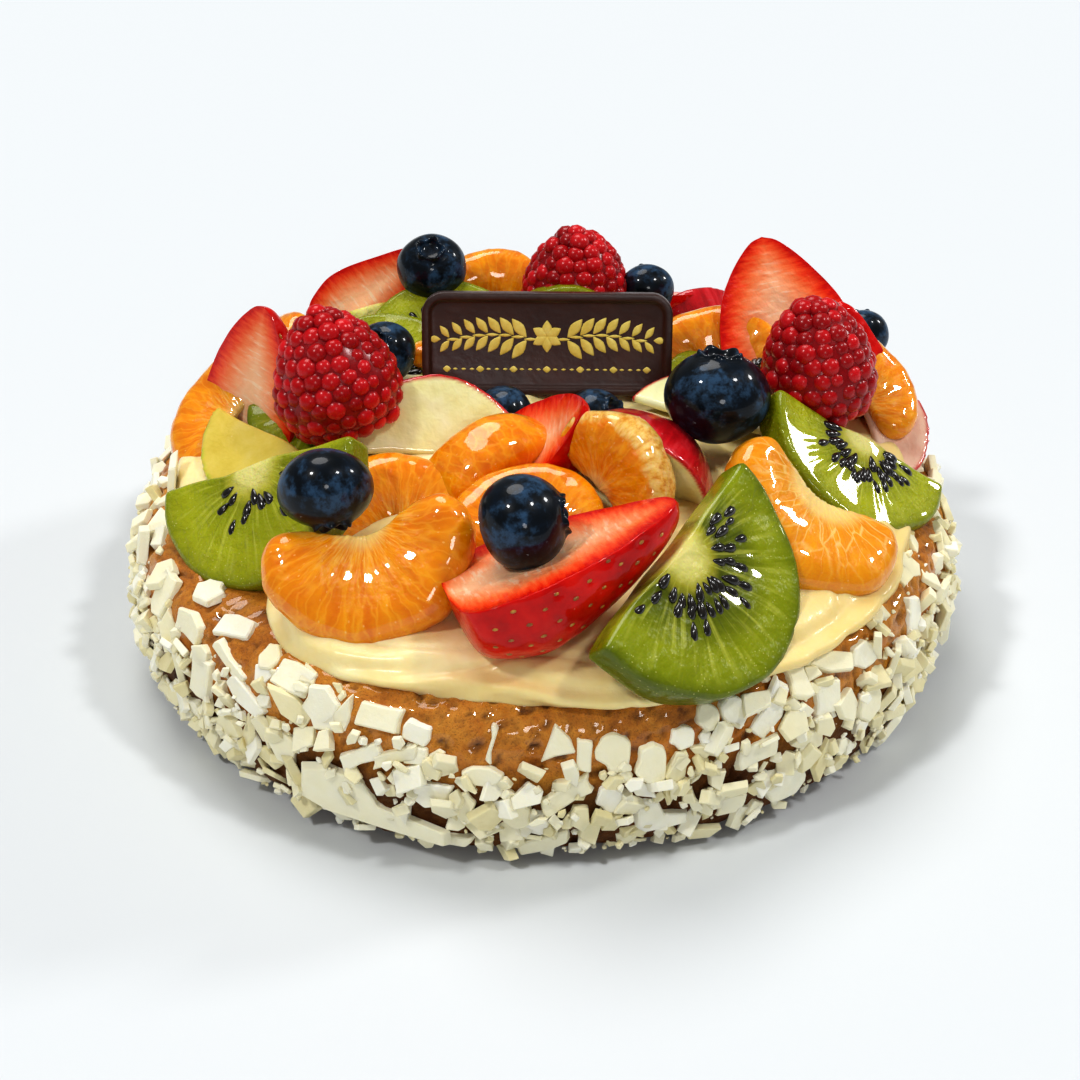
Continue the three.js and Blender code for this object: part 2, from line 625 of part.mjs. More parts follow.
const caseGrown = solidOf(caseGeometry(GAP));
const creamSolid = largestBody(solidOf(creamGeometry(0)).subtract(caseGrown));
const bed = caseGrown.add(solidOf(creamGeometry(GAP)));

const taken = [];
for (const [name, kind, { at, turn, tilt, spin, ...sizes }] of pieces) {
  const place = new THREE.Matrix4().compose(
    new THREE.Vector3(...at), orientation(turn, tilt, spin), new THREE.Vector3(1, 1, 1));
  const inPlace = (grow) => asSolid(kind.make(sizes, grow)).transform(place.elements);
  let solid = inPlace(0);
  for (const other of [bed, ...taken]) {
    if (meets(solid, other)) {
      solid = solid.subtract(other);
    }
  }
  solid = largestBody(solid);
  taken.push(inPlace(GAP));
  const local = solid.transform(place.clone().invert().elements);
  const mesh = addMesh(name, geometryOf(local), kind.finish);
  mesh.applyMatrix4(place);
}

addMesh('pastry_cream', geometryOf(creamSolid), CREAM_FINISH);
const coated = wasm.Manifold.union([
  solidOf(caseGeometry(0)), ...shards([solidOf(creamGeometry(GAP)), ...taken])]);
addMesh('sponge_case', geometryOf(largestBody(coated)), CASE_FINISH);

export default root;
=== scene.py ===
# %% [markdown]
# # A glazed fruit tart
# A round sponge case, rolled in shards of white chocolate, carries a layer of pastry cream and a heap of
# cut fruit and berries. A small chocolate plaque leans back in the middle. The solids of every piece come
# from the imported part, and this lesson gives each of them its fine shape and its finish in Blender.

# %% The frame
import bpy
import bmesh
import math
import random
import numpy as np
from mathutils import Matrix, Vector, noise, kdtree


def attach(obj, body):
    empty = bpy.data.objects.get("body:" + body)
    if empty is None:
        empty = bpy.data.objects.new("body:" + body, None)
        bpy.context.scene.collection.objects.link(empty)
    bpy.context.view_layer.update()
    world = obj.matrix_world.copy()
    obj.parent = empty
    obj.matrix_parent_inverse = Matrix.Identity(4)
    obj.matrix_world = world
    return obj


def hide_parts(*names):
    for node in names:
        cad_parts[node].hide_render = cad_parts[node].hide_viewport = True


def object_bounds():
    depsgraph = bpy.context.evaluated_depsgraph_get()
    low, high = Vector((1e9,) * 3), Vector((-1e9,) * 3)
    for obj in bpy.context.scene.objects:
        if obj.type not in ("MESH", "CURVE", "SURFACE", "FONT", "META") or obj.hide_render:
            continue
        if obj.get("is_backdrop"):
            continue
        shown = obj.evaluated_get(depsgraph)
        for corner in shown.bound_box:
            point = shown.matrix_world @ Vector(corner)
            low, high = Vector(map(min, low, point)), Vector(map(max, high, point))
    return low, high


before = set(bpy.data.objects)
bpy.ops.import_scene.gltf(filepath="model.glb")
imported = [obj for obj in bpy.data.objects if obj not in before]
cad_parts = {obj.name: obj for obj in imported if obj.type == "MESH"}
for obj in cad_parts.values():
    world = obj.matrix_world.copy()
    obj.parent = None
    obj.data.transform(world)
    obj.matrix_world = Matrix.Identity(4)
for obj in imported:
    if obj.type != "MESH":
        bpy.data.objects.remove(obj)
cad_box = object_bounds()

MM = 0.001
print("solids loaded:", len(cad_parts))

# %% [markdown]
# ## Camera, floor and light
# The tart was seen from the front and 34 degrees above, from 0.4 m away. The camera stands there and is
# shifted a little, because the tart sits low in the picture. A plain pale floor catches a soft contact
# shadow. Wet fruit gets its look from what it mirrors: the surroundings are dim, so that dark berries stay
# dark, and a few distant round lamps draw the small bright highlights in the glaze.

# %% Camera
CAMERA_DISTANCE = 0.4
CAMERA_ELEVATION = math.radians(34)
camera_data = bpy.data.cameras.new("camera")
camera_data.sensor_width = 36
camera_data.lens = 61.83
camera_data.shift_x = -0.0019
camera_data.shift_y = 0.062
camera_data.clip_start = 0.01
camera = bpy.data.objects.new("camera", camera_data)
camera.location = (
    0, -CAMERA_DISTANCE * math.cos(CAMERA_ELEVATION), CAMERA_DISTANCE * math.sin(CAMERA_ELEVATION))
camera.rotation_euler = (math.pi / 2 - CAMERA_ELEVATION, 0, 0)
bpy.context.scene.collection.objects.link(camera)
bpy.context.scene.camera = camera
print("camera at", [round(v, 4) for v in camera.location])

# %% Light
bpy.context.scene.view_settings.view_transform = "Standard"
bpy.context.scene.view_settings.gamma = 0.84
world = bpy.data.worlds.new("studio")
world.use_nodes = True
world.node_tree.nodes["Background"].inputs["Color"].default_value = (0.93, 0.97, 1.0, 1)
world.node_tree.nodes["Background"].inputs["Strength"].default_value = 0.25
bpy.context.scene.world = world


def soft_sun(name, turn, elevation, strength, width, tint=(1, 1, 1)):
    """A distant round lamp: `turn` is 0 in front and 90 at the right, `width` is how broad it looks."""
    light = bpy.data.lights.new(name, "SUN")
    light.energy = strength
    light.angle = math.radians(width)
    light.color = tint
    lamp = bpy.data.objects.new(name, light)
    lamp.rotation_euler = (math.radians(90 - elevation), 0, math.radians(turn))
    bpy.context.scene.collection.objects.link(lamp)


soft_sun("back_lamp", -158, 62, 1.55, 32, (1, 0.99, 0.97))
soft_sun("window", 112, 30, 0.75, 8)
soft_sun("left_lamp", -62, 54, 1.15, 7)
soft_sun("right_lamp", 74, 58, 0.9, 7)
soft_sun("front_lamp", 8, 26, 0.45, 12)

# %% [markdown]
# ## Writing materials as expressions
# A material is a small graph of nodes. Joining dozens of Math nodes by hand is slow to read, so a wire
# stands for one output of a node, and plain arithmetic on wires adds the Math nodes. Every other node
# comes from one method that takes its type, its settings and its inputs.

# %% Wires
def rgb(code):
    shares = [int(code[i:i + 2], 16) / 255 for i in (1, 3, 5)]
    linear = [s / 12.92 if s <= 0.04045 else ((s + 0.055) / 1.055) ** 2.4 for s in shares]
    return (*linear, 1)


class Wire:
    """One output in a material. Arithmetic on wires adds Math nodes."""

    def __init__(self, finish, socket):
        self.finish = finish
        self.socket = socket

    def maths(self, operation, *others):
        return self.finish.node("ShaderNodeMath", {"operation": operation}, [self, *others])

    def __add__(self, other):
        return self.maths("ADD", other)

    __radd__ = __add__

    def __sub__(self, other):
        return self.maths("SUBTRACT", other)

    def __rsub__(self, other):
        return self.finish.node("ShaderNodeMath", {"operation": "SUBTRACT"}, [other, self])

    def __mul__(self, other):
        return self.maths("MULTIPLY", other)

    __rmul__ = __mul__

    def __truediv__(self, other):
        return self.maths("DIVIDE", other)

    def rise(self, start, end):
        """0 below start and 1 above end, with a soft change between them; start may be the larger."""
        settings = {"interpolation_type": "SMOOTHSTEP"}
        return self.finish.node("ShaderNodeMapRange", settings, {
            "Value": self, "From Min": start, "From Max": end})


print("wires can be added and multiplied")

# %% [markdown]
# A finish collects the nodes of one material. Its short methods name the few kinds of node that food
# needs: clouds for mottled flesh, cells for juice and specks, ramps for colour, and a bump for the glaze.
# The last method joins everything to one shader, because one shader is all that the wet fruit asks for.

# %% Finishes
class Finish:
    """A material in the making."""

    def __init__(self, name):
        self.material = bpy.data.materials.new(name)
        self.material.use_nodes = True
        self.tree = self.material.node_tree
        self.tree.nodes.clear()

    def node(self, kind, settings, inputs, output=0):
        made = self.tree.nodes.new(kind)
        for key, value in settings.items():
            if key == "stops":
                stops = made.color_ramp.elements
                while len(stops) < len(value):
                    stops.new(1)
                for stop, (position, code) in zip(stops, value):
                    stop.position = position
                    stop.color = rgb(code)
            else:
                setattr(made, key, value)
        for key, value in inputs.items() if isinstance(inputs, dict) else enumerate(inputs):
            socket = made.inputs[key]
            if isinstance(value, Wire):
                self.tree.links.new(value.socket, socket)
            else:
                socket.default_value = value
        return Wire(self, made.outputs[output]) if made.outputs else None

    def attribute(self, name, output=2):
        """A number kept on the points of the mesh."""
        return self.node("ShaderNodeAttribute", {"attribute_name": name}, {}, output)

    def vector(self, name):
        return self.attribute(name, 1)

    def place(self):
        """The point on the object in millimetres."""
        at = self.node("ShaderNodeTexCoord", {}, {}, "Object")
        return self.node("ShaderNodeVectorMath", {"operation": "SCALE"}, {0: at, "Scale": 1000})

    def split(self, vector):
        """The three parts of a vector."""
        first = self.node("ShaderNodeSeparateXYZ", {}, [vector])
        outputs = first.socket.node.outputs
        return first, Wire(self, outputs[1]), Wire(self, outputs[2])

    def joined(self, x, y, z):
        return self.node("ShaderNodeCombineXYZ", {}, [x, y, z])

    def cloud(self, vector, scale, detail=2, roughness=0.5):
        return self.node("ShaderNodeTexNoise", {}, {
            "Vector": vector, "Scale": scale, "Detail": detail, "Roughness": roughness})

    def cells(self, vector, scale, feature="F1"):
        return self.node("ShaderNodeTexVoronoi", {"feature": feature}, {"Vector": vector, "Scale": scale})

    def ramp(self, value, stops):
        return self.node("ShaderNodeValToRGB", {"stops": stops}, [value])

    def mix(self, share, a, b):
        a, b = (rgb(c) if isinstance(c, str) else c for c in (a, b))
        return self.node("ShaderNodeMix", {"data_type": "RGBA"}, {0: share, 6: a, 7: b}, 2)

    def bump(self, height, strength, distance):
        return self.node("ShaderNodeBump", {}, {
            "Height": height, "Strength": strength, "Distance": distance * MM})

    def surface(self, colour, roughness, normal=None, **constants):
        inputs = {"Base Color": rgb(colour) if isinstance(colour, str) else colour, "Roughness": roughness}
        if normal is not None:
            inputs["Normal"] = normal
        for key, value in constants.items():
            inputs[key.replace("_", " ").title().replace("Ior", "IOR")] = value
        shader = self.node("ShaderNodeBsdfPrincipled", {}, inputs)
        self.node("ShaderNodeOutputMaterial", {}, {"Surface": shader})
        return self.material


print("finishes can be written as expressions")

# %% [markdown]
# ## Placing a piece
# Every fruit is shaped in millimetres round its own origin: local Z is the way its face looks, local Y the
# way it reaches. Then it is carried to its place. The local coordinates are kept in an attribute on the
# vertices, so that seeds, rays and rims in a material follow the fruit wherever it lies.

# %% Placing and finishing a mesh
def placing(at, turn, tilt, spin):
    """Carries a piece from its own frame to `at`; its face then looks to `turn` and `tilt` up."""
    turned = (Matrix.Rotation(math.radians(turn), 4, "Z")
              @ Matrix.Rotation(math.radians(90 - tilt), 4, "X")
              @ Matrix.Rotation(math.radians(spin), 4, "Z"))
    return Matrix.Translation(at) @ turned


def points_of(mesh, what="co"):
    flat = np.empty(len(mesh.vertices) * 3, np.float32)
    mesh.vertices.foreach_get(what, flat)
    return flat.reshape(-1, 3).astype(float)


def normals_of(mesh):
    return points_of(mesh, "normal")


def move_points(mesh, points):
    mesh.vertices.foreach_set("co", np.ascontiguousarray(points, np.float32).ravel())
    mesh.update()


def mesh_from(name, bm, outwards=True):
    if outwards:
        bmesh.ops.recalc_face_normals(bm, faces=bm.faces)
    mesh = bpy.data.meshes.new(name)
    bm.to_mesh(mesh)
    bm.free()
    return mesh


def pour(pile, bm):
    """Moves a small bmesh into a larger one, and says how many points it had."""
    count = len(bm.verts)
    mesh = mesh_from("part", bm, outwards=False)
    pile.from_mesh(mesh)
    bpy.data.meshes.remove(mesh)
    return count


def keep(mesh, name, values):
    """Keeps a number or a vector for each point of the mesh, for a material to read."""
    values = np.asarray(values, np.float32)
    kind = "FLOAT_VECTOR" if values.ndim == 2 else "FLOAT"
    layer = mesh.attributes.new(name, kind, "POINT")
    layer.data.foreach_set("vector" if values.ndim == 2 else "value", values.ravel())


def finished(name, mesh, matrix, material, replaced=()):
    """Carries a mesh from its own frame to its place on the tart, and shows it in place of the solids."""
    mesh.transform(Matrix.Scale(MM, 4) @ matrix)
    mesh.shade_smooth()
    mesh.materials.clear()
    mesh.materials.append(material)
    mesh.name = name
    piece = bpy.data.objects.new(name, mesh)
    bpy.context.scene.collection.objects.link(piece)
    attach(piece, "root")
    if replaced:
        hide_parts(*replaced)


print("pieces can be placed and finished")

# %% [markdown]
# Nothing baked or grown is perfectly even. Two helpers make it so: one shifts points by a smooth random
# field, and one gives a smooth random height. The field's own offsets are drawn from the clock unless the
# noise has a seed, so it gets one, and every run is the same.

# %% Unevenness
noise.seed_set(7)


def wander(points, size, amount, seed):
    """Shifts points by up to `amount` in a smooth field whose lumps are `size` apart."""
    offset = Vector((17.3 * seed, 5.1 * seed, 9.7 * seed))
    shift = [noise.noise_vector(Vector(p) / size + offset) for p in points]
    return points + amount * np.array(shift)


def lumps(points, size, seed):
    """A smooth height between -1 and 1 at each point."""
    offset = Vector((3.7 * seed, 11.9 * seed, 7.3 * seed))
    return np.array([noise.noise(Vector(p) / size + offset) for p in points])


print("shapes can be made uneven")

# %% [markdown]
# Three more helpers serve whole shapes. The first draws a smooth curve through the corners of a profile,
# so a few corners are enough. The second wraps a shape in an even skin of small faces, which gives a cut
# piece enough points to bend. The third smooths that skin a little.

# %% Curves and skins
def smooth_line(corners, count):
    """Points along a smooth curve through the corners of a profile."""
    corners = [Vector((*c, 0)) for c in corners]
    ends = [2 * corners[0] - corners[1], *corners, 2 * corners[-1] - corners[-2]]
    line = []
    for i in range(count):
        t = i * (len(corners) - 1) / (count - 1)
        k = min(int(t), len(corners) - 2)
        t -= k
        p0, p1, p2, p3 = ends[k:k + 4]
        line.append(0.5 * ((2 * p1) + (p2 - p0) * t + (2 * p0 - 5 * p1 + 4 * p2 - p3) * t ** 2
                           + (3 * p1 - p0 - 3 * p2 + p3) * t ** 3))
    return [(max(0, p.x), p.y) for p in line]


def remeshed(name, bm, voxel):
    """The shape of a bmesh as an even skin of small faces, with its corners softened."""
    rough = bpy.data.objects.new(name, mesh_from(name, bm))
    bpy.context.scene.collection.objects.link(rough)
    skin = rough.modifiers.new("skin", "REMESH")
    skin.mode = "VOXEL"
    skin.voxel_size = voxel
    made = bpy.data.meshes.new_from_object(rough.evaluated_get(bpy.context.evaluated_depsgraph_get()))
    bpy.data.objects.remove(rough)
    return made


def relaxed(mesh, rounds):
    """Evens out the small steps of a voxel skin."""
    bm = bmesh.new()
    bm.from_mesh(mesh)
    for _ in range(rounds):
        bmesh.ops.smooth_vert(bm, verts=bm.verts, factor=0.5,
                              use_axis_x=True, use_axis_y=True, use_axis_z=True)
    bm.to_mesh(mesh)
    bm.free()


print("curves and skins can be made")

# %% [markdown]
# ## The sponge case
# The real case is a baked ring of sponge with a brown, open crust, glossy where the glaze ran over its
# rim. A profile spun round the axis gives the ring, and fine displacement gives the pores of the crust.
# Sculpting would give the same look, but a formula is the same on every run.

# %% The case's profile
CASE_PROFILE = [(77, 0), (81.6, 4), (83.5, 13), (83.3, 22), (80.6, 29.8), (75.5, 33)]
CASE_TOP = 33.4


def case_swell(angle):
    """How far the case's wall bulges at an angle in radians, as a share of its radius."""
    return 0.006 * np.sin(3 * angle + 0.5) + 0.004 * np.sin(7 * angle + 2)


def case_radius(height):
    for (r0, z0), (r1, z1) in zip(CASE_PROFILE, CASE_PROFILE[1:]):
        if height <= z1:
            return r0 + (r1 - r0) * (height - z0) / (z1 - z0)
    return CASE_PROFILE[-1][0]


def spun(line, steps, close=0.002):
    """A surface of revolution about Z from (radius, height) points."""
    bm = bmesh.new()
    verts = [bm.verts.new((r, 0, z)) for r, z in line]
    edges = [bm.edges.new(pair) for pair in zip(verts, verts[1:])]
    bmesh.ops.spin(bm, geom=verts + edges, cent=(0, 0, 0), axis=(0, 0, 1), angle=2 * math.pi,
                   steps=steps, use_merge=True, use_duplicate=False)
    bmesh.ops.remove_doubles(bm, verts=bm.verts, dist=close)
    return bm


print("the case is widest at", max(r for r, _ in CASE_PROFILE), "mm from its axis")

# %% The crust
side = smooth_line(CASE_PROFILE, 46)
case_line = [(0, 0), (40, 0), (70, 0), *side, (72, 33.2), (60, CASE_TOP), (0, CASE_TOP)]
crust_mesh = mesh_from("crust", spun(case_line, 560))
crust_points = points_of(crust_mesh)
angles = np.arctan2(crust_points[:, 1], crust_points[:, 0])
crust_points[:, :2] *= 1 + case_swell(angles)[:, None]
outer = np.clip((np.hypot(crust_points[:, 0], crust_points[:, 1]) - 70) / 5, 0, 1)
large_pores = np.clip(lumps(crust_points, 1.7, 3) - 0.12, 0, 1)
fine_pores = np.clip(lumps(crust_points, 0.9, 5), 0, 1)
pores = large_pores * 1.9 + fine_pores * 0.5
bulges = 0.5 * lumps(crust_points, 9, 1)
depth = outer * np.clip(crust_points[:, 2] / 2, 0, 1) * (bulges - pores)
move_points(crust_mesh, crust_points + normals_of(crust_mesh) * depth[:, None])
# the depth of each pore is kept for the painted shade in the pores
keep(crust_mesh, "pore", np.clip(pores, 0, 1))
print("crust faces:", len(crust_mesh.polygons))

# %% [markdown]
# The crust was baked unevenly: golden in patches and brown between them. Towards the foot it is painted
# almost black, which is painted shade, and the pores are painted darker than the rest as painted shade in
# their hollows, so the depth of each is kept on the mesh. Glaze makes the upper part wet, which is a coat
# that fades in with height.

# %% The crust's finish
crust = Finish("sponge_crust")
where = crust.place()
_, _, height = crust.split(where)
patches = crust.cloud(where, 0.11, 4, 0.6)
grain = crust.cloud(where, 0.9, 3, 0.6)
crumb = crust.cloud(where, 2.3, 3, 0.7)
# painted shade: the crust is painted almost black towards the foot
low = (height + patches * 8 - 4).rise(25, 15)
baked = crust.ramp(patches * 0.7 + grain * 0.3, [
    (0.3, "#A05A16"), (0.45, "#C67C24"), (0.6, "#DA9636"), (0.75, "#E4AE50")])
baked = crust.mix(low * 0.88, baked, crust.ramp(grain, [(0.3, "#2A1107"), (0.7, "#52290F")]))
baked = crust.mix(crumb.rise(0.46, 0.34) * 0.45, baked, "#6B3A12")
# painted shade: the pores are painted darker, deepest where they are deepest
baked = crust.mix(crust.attribute("pore") * 0.75, baked, "#4A240D")
crust_grain = crust.bump(crumb + patches * 2, 0.7, 0.6)
crust_wet = height.rise(20, 27)
crust_material = crust.surface(
    baked, 0.55 - crust_wet * 0.2, crust_grain, specular_ior_level=0.15, coat_weight=crust_wet * 0.8,
    coat_roughness=0.06)
finished("crust", crust_mesh, Matrix.Identity(4), crust_material, ["sponge_case"])
print("crust finished")

# %% [markdown]
# ## White chocolate shards
# The case is rolled in broken flakes of white chocolate. Each flake is a flat plate with sharp corners,
# 1 to 15 mm across and up to 2 mm thick, and one long smear is wider. The larger flakes belong to the
# case's own solid. Some are listed with the place where they were seen. The others were scattered by a
# seed, and are found again by drawing the same plates and keeping those whose outermost corner is a corner
# of the solid. Hundreds of smaller flakes then fill the gaps between them.

# %% One flake
class Draw:
    """The same seeded numbers that placed the large flakes on the solid."""

    def __init__(self, seed):
        self.seed = seed

    def next(self):
        self.seed = (self.seed * 16807) % 2147483647
        return self.seed / 2147483647


def flake_outline(draw, radii, power=1.6):
    """The corners of a random flake. A larger power makes the small ones more common."""
    corners = 4 + int(draw() * 2)
    radius = radii[0] + (radii[1] - radii[0]) * draw() ** power
    stretch = 0.65 + 0.7 * draw()
    outline = []
    for i in range(corners):
        angle = (i + 0.5 * draw()) / corners * 2 * math.pi
        reach = radius * (0.75 + 0.35 * draw())
        outline.append((reach * math.cos(angle) * stretch, reach * math.sin(angle) / stretch))
    return radius, outline


def broken(outline, rng):
    """The outline with one more corner in each side, a little in or out, as in a broken edge."""
    corners = []
    for (x, y), (next_x, next_y) in zip(outline, outline[1:] + outline[:1]):
        share = 0.35 + 0.3 * rng.random()
        off = 0.07 * rng.gauss(0, 1)
        corners.append((x * (0.94 + 0.1 * rng.random()), y * (0.94 + 0.1 * rng.random())))
        corners.append((x + (next_x - x) * share - (next_y - y) * off,
                        y + (next_y - y) * share + (next_x - x) * off))
    return corners


def flake(pile, outline, thickness, matrix, worn, rng):
    """Adds one flake to the pile: a plate with slightly worn edges and a crooked top."""
    bm = bmesh.new()
    bmesh.ops.create_circle(bm, cap_ends=True, segments=len(outline), radius=1)
    bm.verts.ensure_lookup_table()
    for vert, (x, y) in zip(bm.verts, outline):
        vert.co = (x, y, -thickness / 2)
    lifted = bmesh.ops.extrude_face_region(bm, geom=bm.faces[:])
    top = [v for v in lifted["geom"] if isinstance(v, bmesh.types.BMVert)]
    bmesh.ops.translate(bm, verts=top, vec=(0, 0, thickness))
    thin_side = rng.random() * 2 * math.pi
    taper = 0.3 * rng.random()
    for vert in top:
        side = Vector((math.cos(thin_side), math.sin(thin_side), 0)).dot(vert.co.normalized())
        vert.co.z -= thickness * (0.5 + 0.5 * side) * taper
        vert.co.x *= 0.8 + 0.2 * rng.random()
        vert.co.y *= 0.8 + 0.2 * rng.random()
    bmesh.ops.bevel(bm, geom=bm.edges[:], offset=worn, offset_type="OFFSET", segments=1, profile=0.5,
                    affect="EDGES", material=-1)
    bmesh.ops.recalc_face_normals(bm, faces=bm.faces)
    bmesh.ops.transform(bm, matrix=matrix, verts=bm.verts)
    return pour(pile, bm)


print("flakes can be broken off")

# %% The large flakes that were seen
FLAKE_SHAPES = {
    "slab": [(-0.5, -0.4), (0.42, -0.5), (0.5, 0.42), (-0.4, 0.5)],
    "kite": [(-0.5, -0.12), (-0.1, -0.5), (0.42, -0.38), (0.5, 0.2), (0.08, 0.5), (-0.34, 0.4)],
    "blade": [(-0.5, -0.5), (0.5, -0.28), (0.34, 0.1), (-0.1, 0.5)],
    "oval": [(-0.5, 0.08), (-0.34, -0.36), (0.05, -0.5), (0.4, -0.3), (0.5, 0.1), (0.22, 0.45),
             (-0.25, 0.5)],
    "smear": [(-0.44, -0.34), (-0.28, -0.5), (0.1, -0.46), (0.5, -0.4), (0.48, -0.1), (0.05, 0),
              (-0.06, 0.42), (-0.3, 0.5), (-0.46, 0.32)],
}
LAID_THICKNESS = 1.7
# outline, angle round the case, height, width, tallness, spin, and how far it looks up if that is special
LAID_FLAKES = [
    ("smear", -21, 11.3, 31.3, 11.0, -6),
    ("kite", -28, 27.6, 9.1, 9.1, 0),
    ("blade", -25, 27.7, 5.1, 8.9, -25),
    ("slab", -33, 30.3, 8.9, 5.5, 0),
    ("slab", -20, 29.0, 9.2, 5.2, 5),
    ("slab", -15, 27.7, 5.0, 4.6, -10),
    ("slab", -15, 23.7, 4.6, 4.4, 0),
    ("slab", -6, 27.1, 1.6, 7.8, -8),
    ("oval", -7, 21.5, 7.6, 4.1, 0),
    ("blade", 2, 27.3, 6.5, 7.3, 0),
    ("slab", 5, 25.0, 3.1, 6.9, 0),
    ("slab", -22, 21.2, 10.0, 4.0, 35),
    ("slab", -17.5, 22.9, 9.7, 2.9, 28),
    ("slab", -13, 16.7, 8.2, 4.8, 0),
    ("kite", -9, 14.2, 3.9, 7.4, 0),
    ("kite", -3, 13.3, 5.6, 7.1, 0),
    ("slab", 3, 17.1, 11.4, 4.4, 35),
    ("slab", 0, 5.7, 11.3, 4.1, 25),
    ("slab", -13, 6.0, 14.8, 3.1, -3),
    ("kite", 8.5, 25.0, 6.6, 8.4, 0),
    ("kite", 13, 22.1, 6.0, 8.6, 0),
    ("kite", 8, 15.8, 5.3, 7.2, 0),
    ("smear", 14.5, 10.8, 10.9, 8.3, 0),
    ("kite", 17, 25.8, 5.0, 5.1, 0),
    ("kite", 20.5, 28.5, 4.7, 5.9, 0),
    ("kite", 24, 28.3, 5.0, 7.0, 20),
    ("slab", 29, 26.9, 4.8, 12.1, -35),
    ("slab", 34, 30.0, 5.0, 8.2, 0),
    ("slab", 38, 24.2, 7.1, 7.6, 0),
    ("slab", 40, 30.1, 11.3, 3.6, -25),
    ("kite", 46, 27.7, 8.4, 6.0, 0),
    ("slab", 35, 17.4, 6.2, 5.7, 10),
    ("kite", 46, 17.6, 7.5, 9.6, 10),
    ("oval", 32, 9.0, 9.9, 8.4, 0),
    ("slab", 27, 19.4, 9.9, 4.7, 12),
    ("slab", 24, 8.6, 5.9, 6.0, 0),
    ("kite", -55, 33.0, 8.2, 7.3, 0),
    ("slab", -54, 27.8, 10.3, 4.8, 5),
    ("slab", -46, 31.7, 9.5, 4.7, 20),
    ("kite", -38, 31.0, 4.6, 6.2, 0),
    ("slab", -62, 29.1, 6.8, 9.4, 5),
    ("slab", -44, 27.6, 11.3, 3.3, -25),
    ("slab", -40, 23.4, 11.2, 3.5, -20),
    ("slab", -49, 21.7, 6.9, 10.3, 0),
    ("slab", 59, 25.5, 5.9, 9.9, -15),
    ("slab", 64, 18.2, 3.7, 10.2, -20),
    ("blade", -77, 31.6, 13, 12, 70, 66),
    ("slab", -86, 33, 5, 17, -8, 8),
    ("kite", -92, 32.5, 6, 9, 20, 30),
    ("blade", 82, 32, 9, 10, 160, 50),
]


def side_slope(height):
    """How far the case's side looks up at a height, in degrees."""
    return (height - 26) * 11 if height > 26 else (height - 13) * 1.2


def on_side(angle, height, stand=0.35):
    """A place on the case's side, 0 in front and 90 at the right."""
    turn = math.radians(angle)
    out = case_radius(height) * (1 + case_swell(turn - math.pi / 2)) + stand
    return Vector((out * math.sin(turn), -out * math.cos(turn), height))


pile = bmesh.new()
tones = []
flakes = []
rng = random.Random(41)
for shape, angle, height, wide, tall, spin, *slope in LAID_FLAKES:
    outline = [(x * wide, y * tall) for x, y in FLAKE_SHAPES[shape]]
    if shape != "smear":
        outline = broken(outline, rng)
    centre = on_side(angle, height)
    matrix = placing(centre, angle, slope[0] if slope else side_slope(height), spin)
    tones += [0.45 + 0.55 * rng.random()] * flake(pile, outline, LAID_THICKNESS, matrix, 0.25, rng)
    reach = min(wide, tall) / 2
    steps = int(wide / tall / 2)
    for step in range(-steps, steps + 1):
        along = placing((0, 0, 0), angle, 0, spin) @ Vector((step * tall, 0, 0))
        flakes.append((centre + along, reach * 1.4 + 1))
print("large flakes laid by hand:", len(LAID_FLAKES))

# %% The large flakes that were scattered
SHARD_COUNT = 16
SHARD_TRIES = 2400
SAME_CORNER = 0.03
case_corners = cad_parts["sponge_case"].data.vertices
near = kdtree.KDTree(len(case_corners))
for i, corner in enumerate(case_corners):
    near.insert(corner.co / MM, i)
near.balance()

draw = Draw(2024)
scattered = 0
for _ in range(SHARD_TRIES):
    radius, outline = flake_outline(draw.next, (3, 6.2))
    thickness = 1.2 + 0.8 * draw.next()
    angle = draw.next() * 360
    height = 3.2 + 28.3 * draw.next()
    lean = (draw.next() - 0.5) * 50
    yaw = (draw.next() - 0.5) * 40
    spin = draw.next() * 360
    centre = on_side(angle, height)
    matrix = placing(centre, angle + yaw, side_slope(height) + lean, spin)
    corners = [matrix @ Vector((x, y, s * thickness / 2)) for x, y in outline for s in (-1, 1)]
    outermost = max(corners, key=lambda c: math.hypot(c.x, c.y))
    if near.find(outermost)[2] > SAME_CORNER:
        continue
    tones += [rng.random()] * flake(pile, outline, thickness, matrix, 0.22, rng)
    flakes.append((centre, radius))
    scattered += 1
    if scattered == SHARD_COUNT:
        break
print("scattered large flakes found on the solid:", scattered)

# %% [markdown]
# The small flakes follow the photograph: thick at the sides and the back, up to the rim at the right, and
# lower in the middle of the front, where a band of bare crust shows under the cream.

# %% The small flakes
CLEAR_OF_FLOOR = 0.7


def flake_ceiling(angle):
    """The highest place for a flake at an angle round the case, 0 in front and 90 at the right."""
    off = (angle + 540) % 360 - 180
    bare = 10.5 * math.exp(-((off - 2) / 24) ** 4) + 6 * math.exp(-((off + 50) / 16) ** 2)
    return 33.5 - bare


def small_flakes(count, radii, thick, gap, stand, seed):
    rng = random.Random(seed)
    placed = 0
    for _ in range(count * 5):
        if placed == count:
            break
        radius, outline = flake_outline(rng.random, radii, 1.3)
        angle = rng.random() * 360
        lowest = 1.2 + radius * 0.6
        height = lowest + (flake_ceiling(angle) - lowest) * rng.random()
        centre = on_side(angle, height, stand * rng.random())
        if any((centre - other).length < gap * (radius + size) for other, size in flakes):
            continue
        matrix = placing(
            centre, angle + rng.gauss(0, 24), side_slope(height) + rng.gauss(0, 26), rng.random() * 360)
        thickness = thick[0] + (thick[1] - thick[0]) * rng.random()
        if min((matrix @ Vector((x, y, 0))).z for x, y in outline) < CLEAR_OF_FLOOR:
            continue
        tones.extend([rng.random()] * flake(pile, outline, thickness, matrix, 0.14, rng))
        flakes.append((centre, radius))
        placed += 1
    return placed


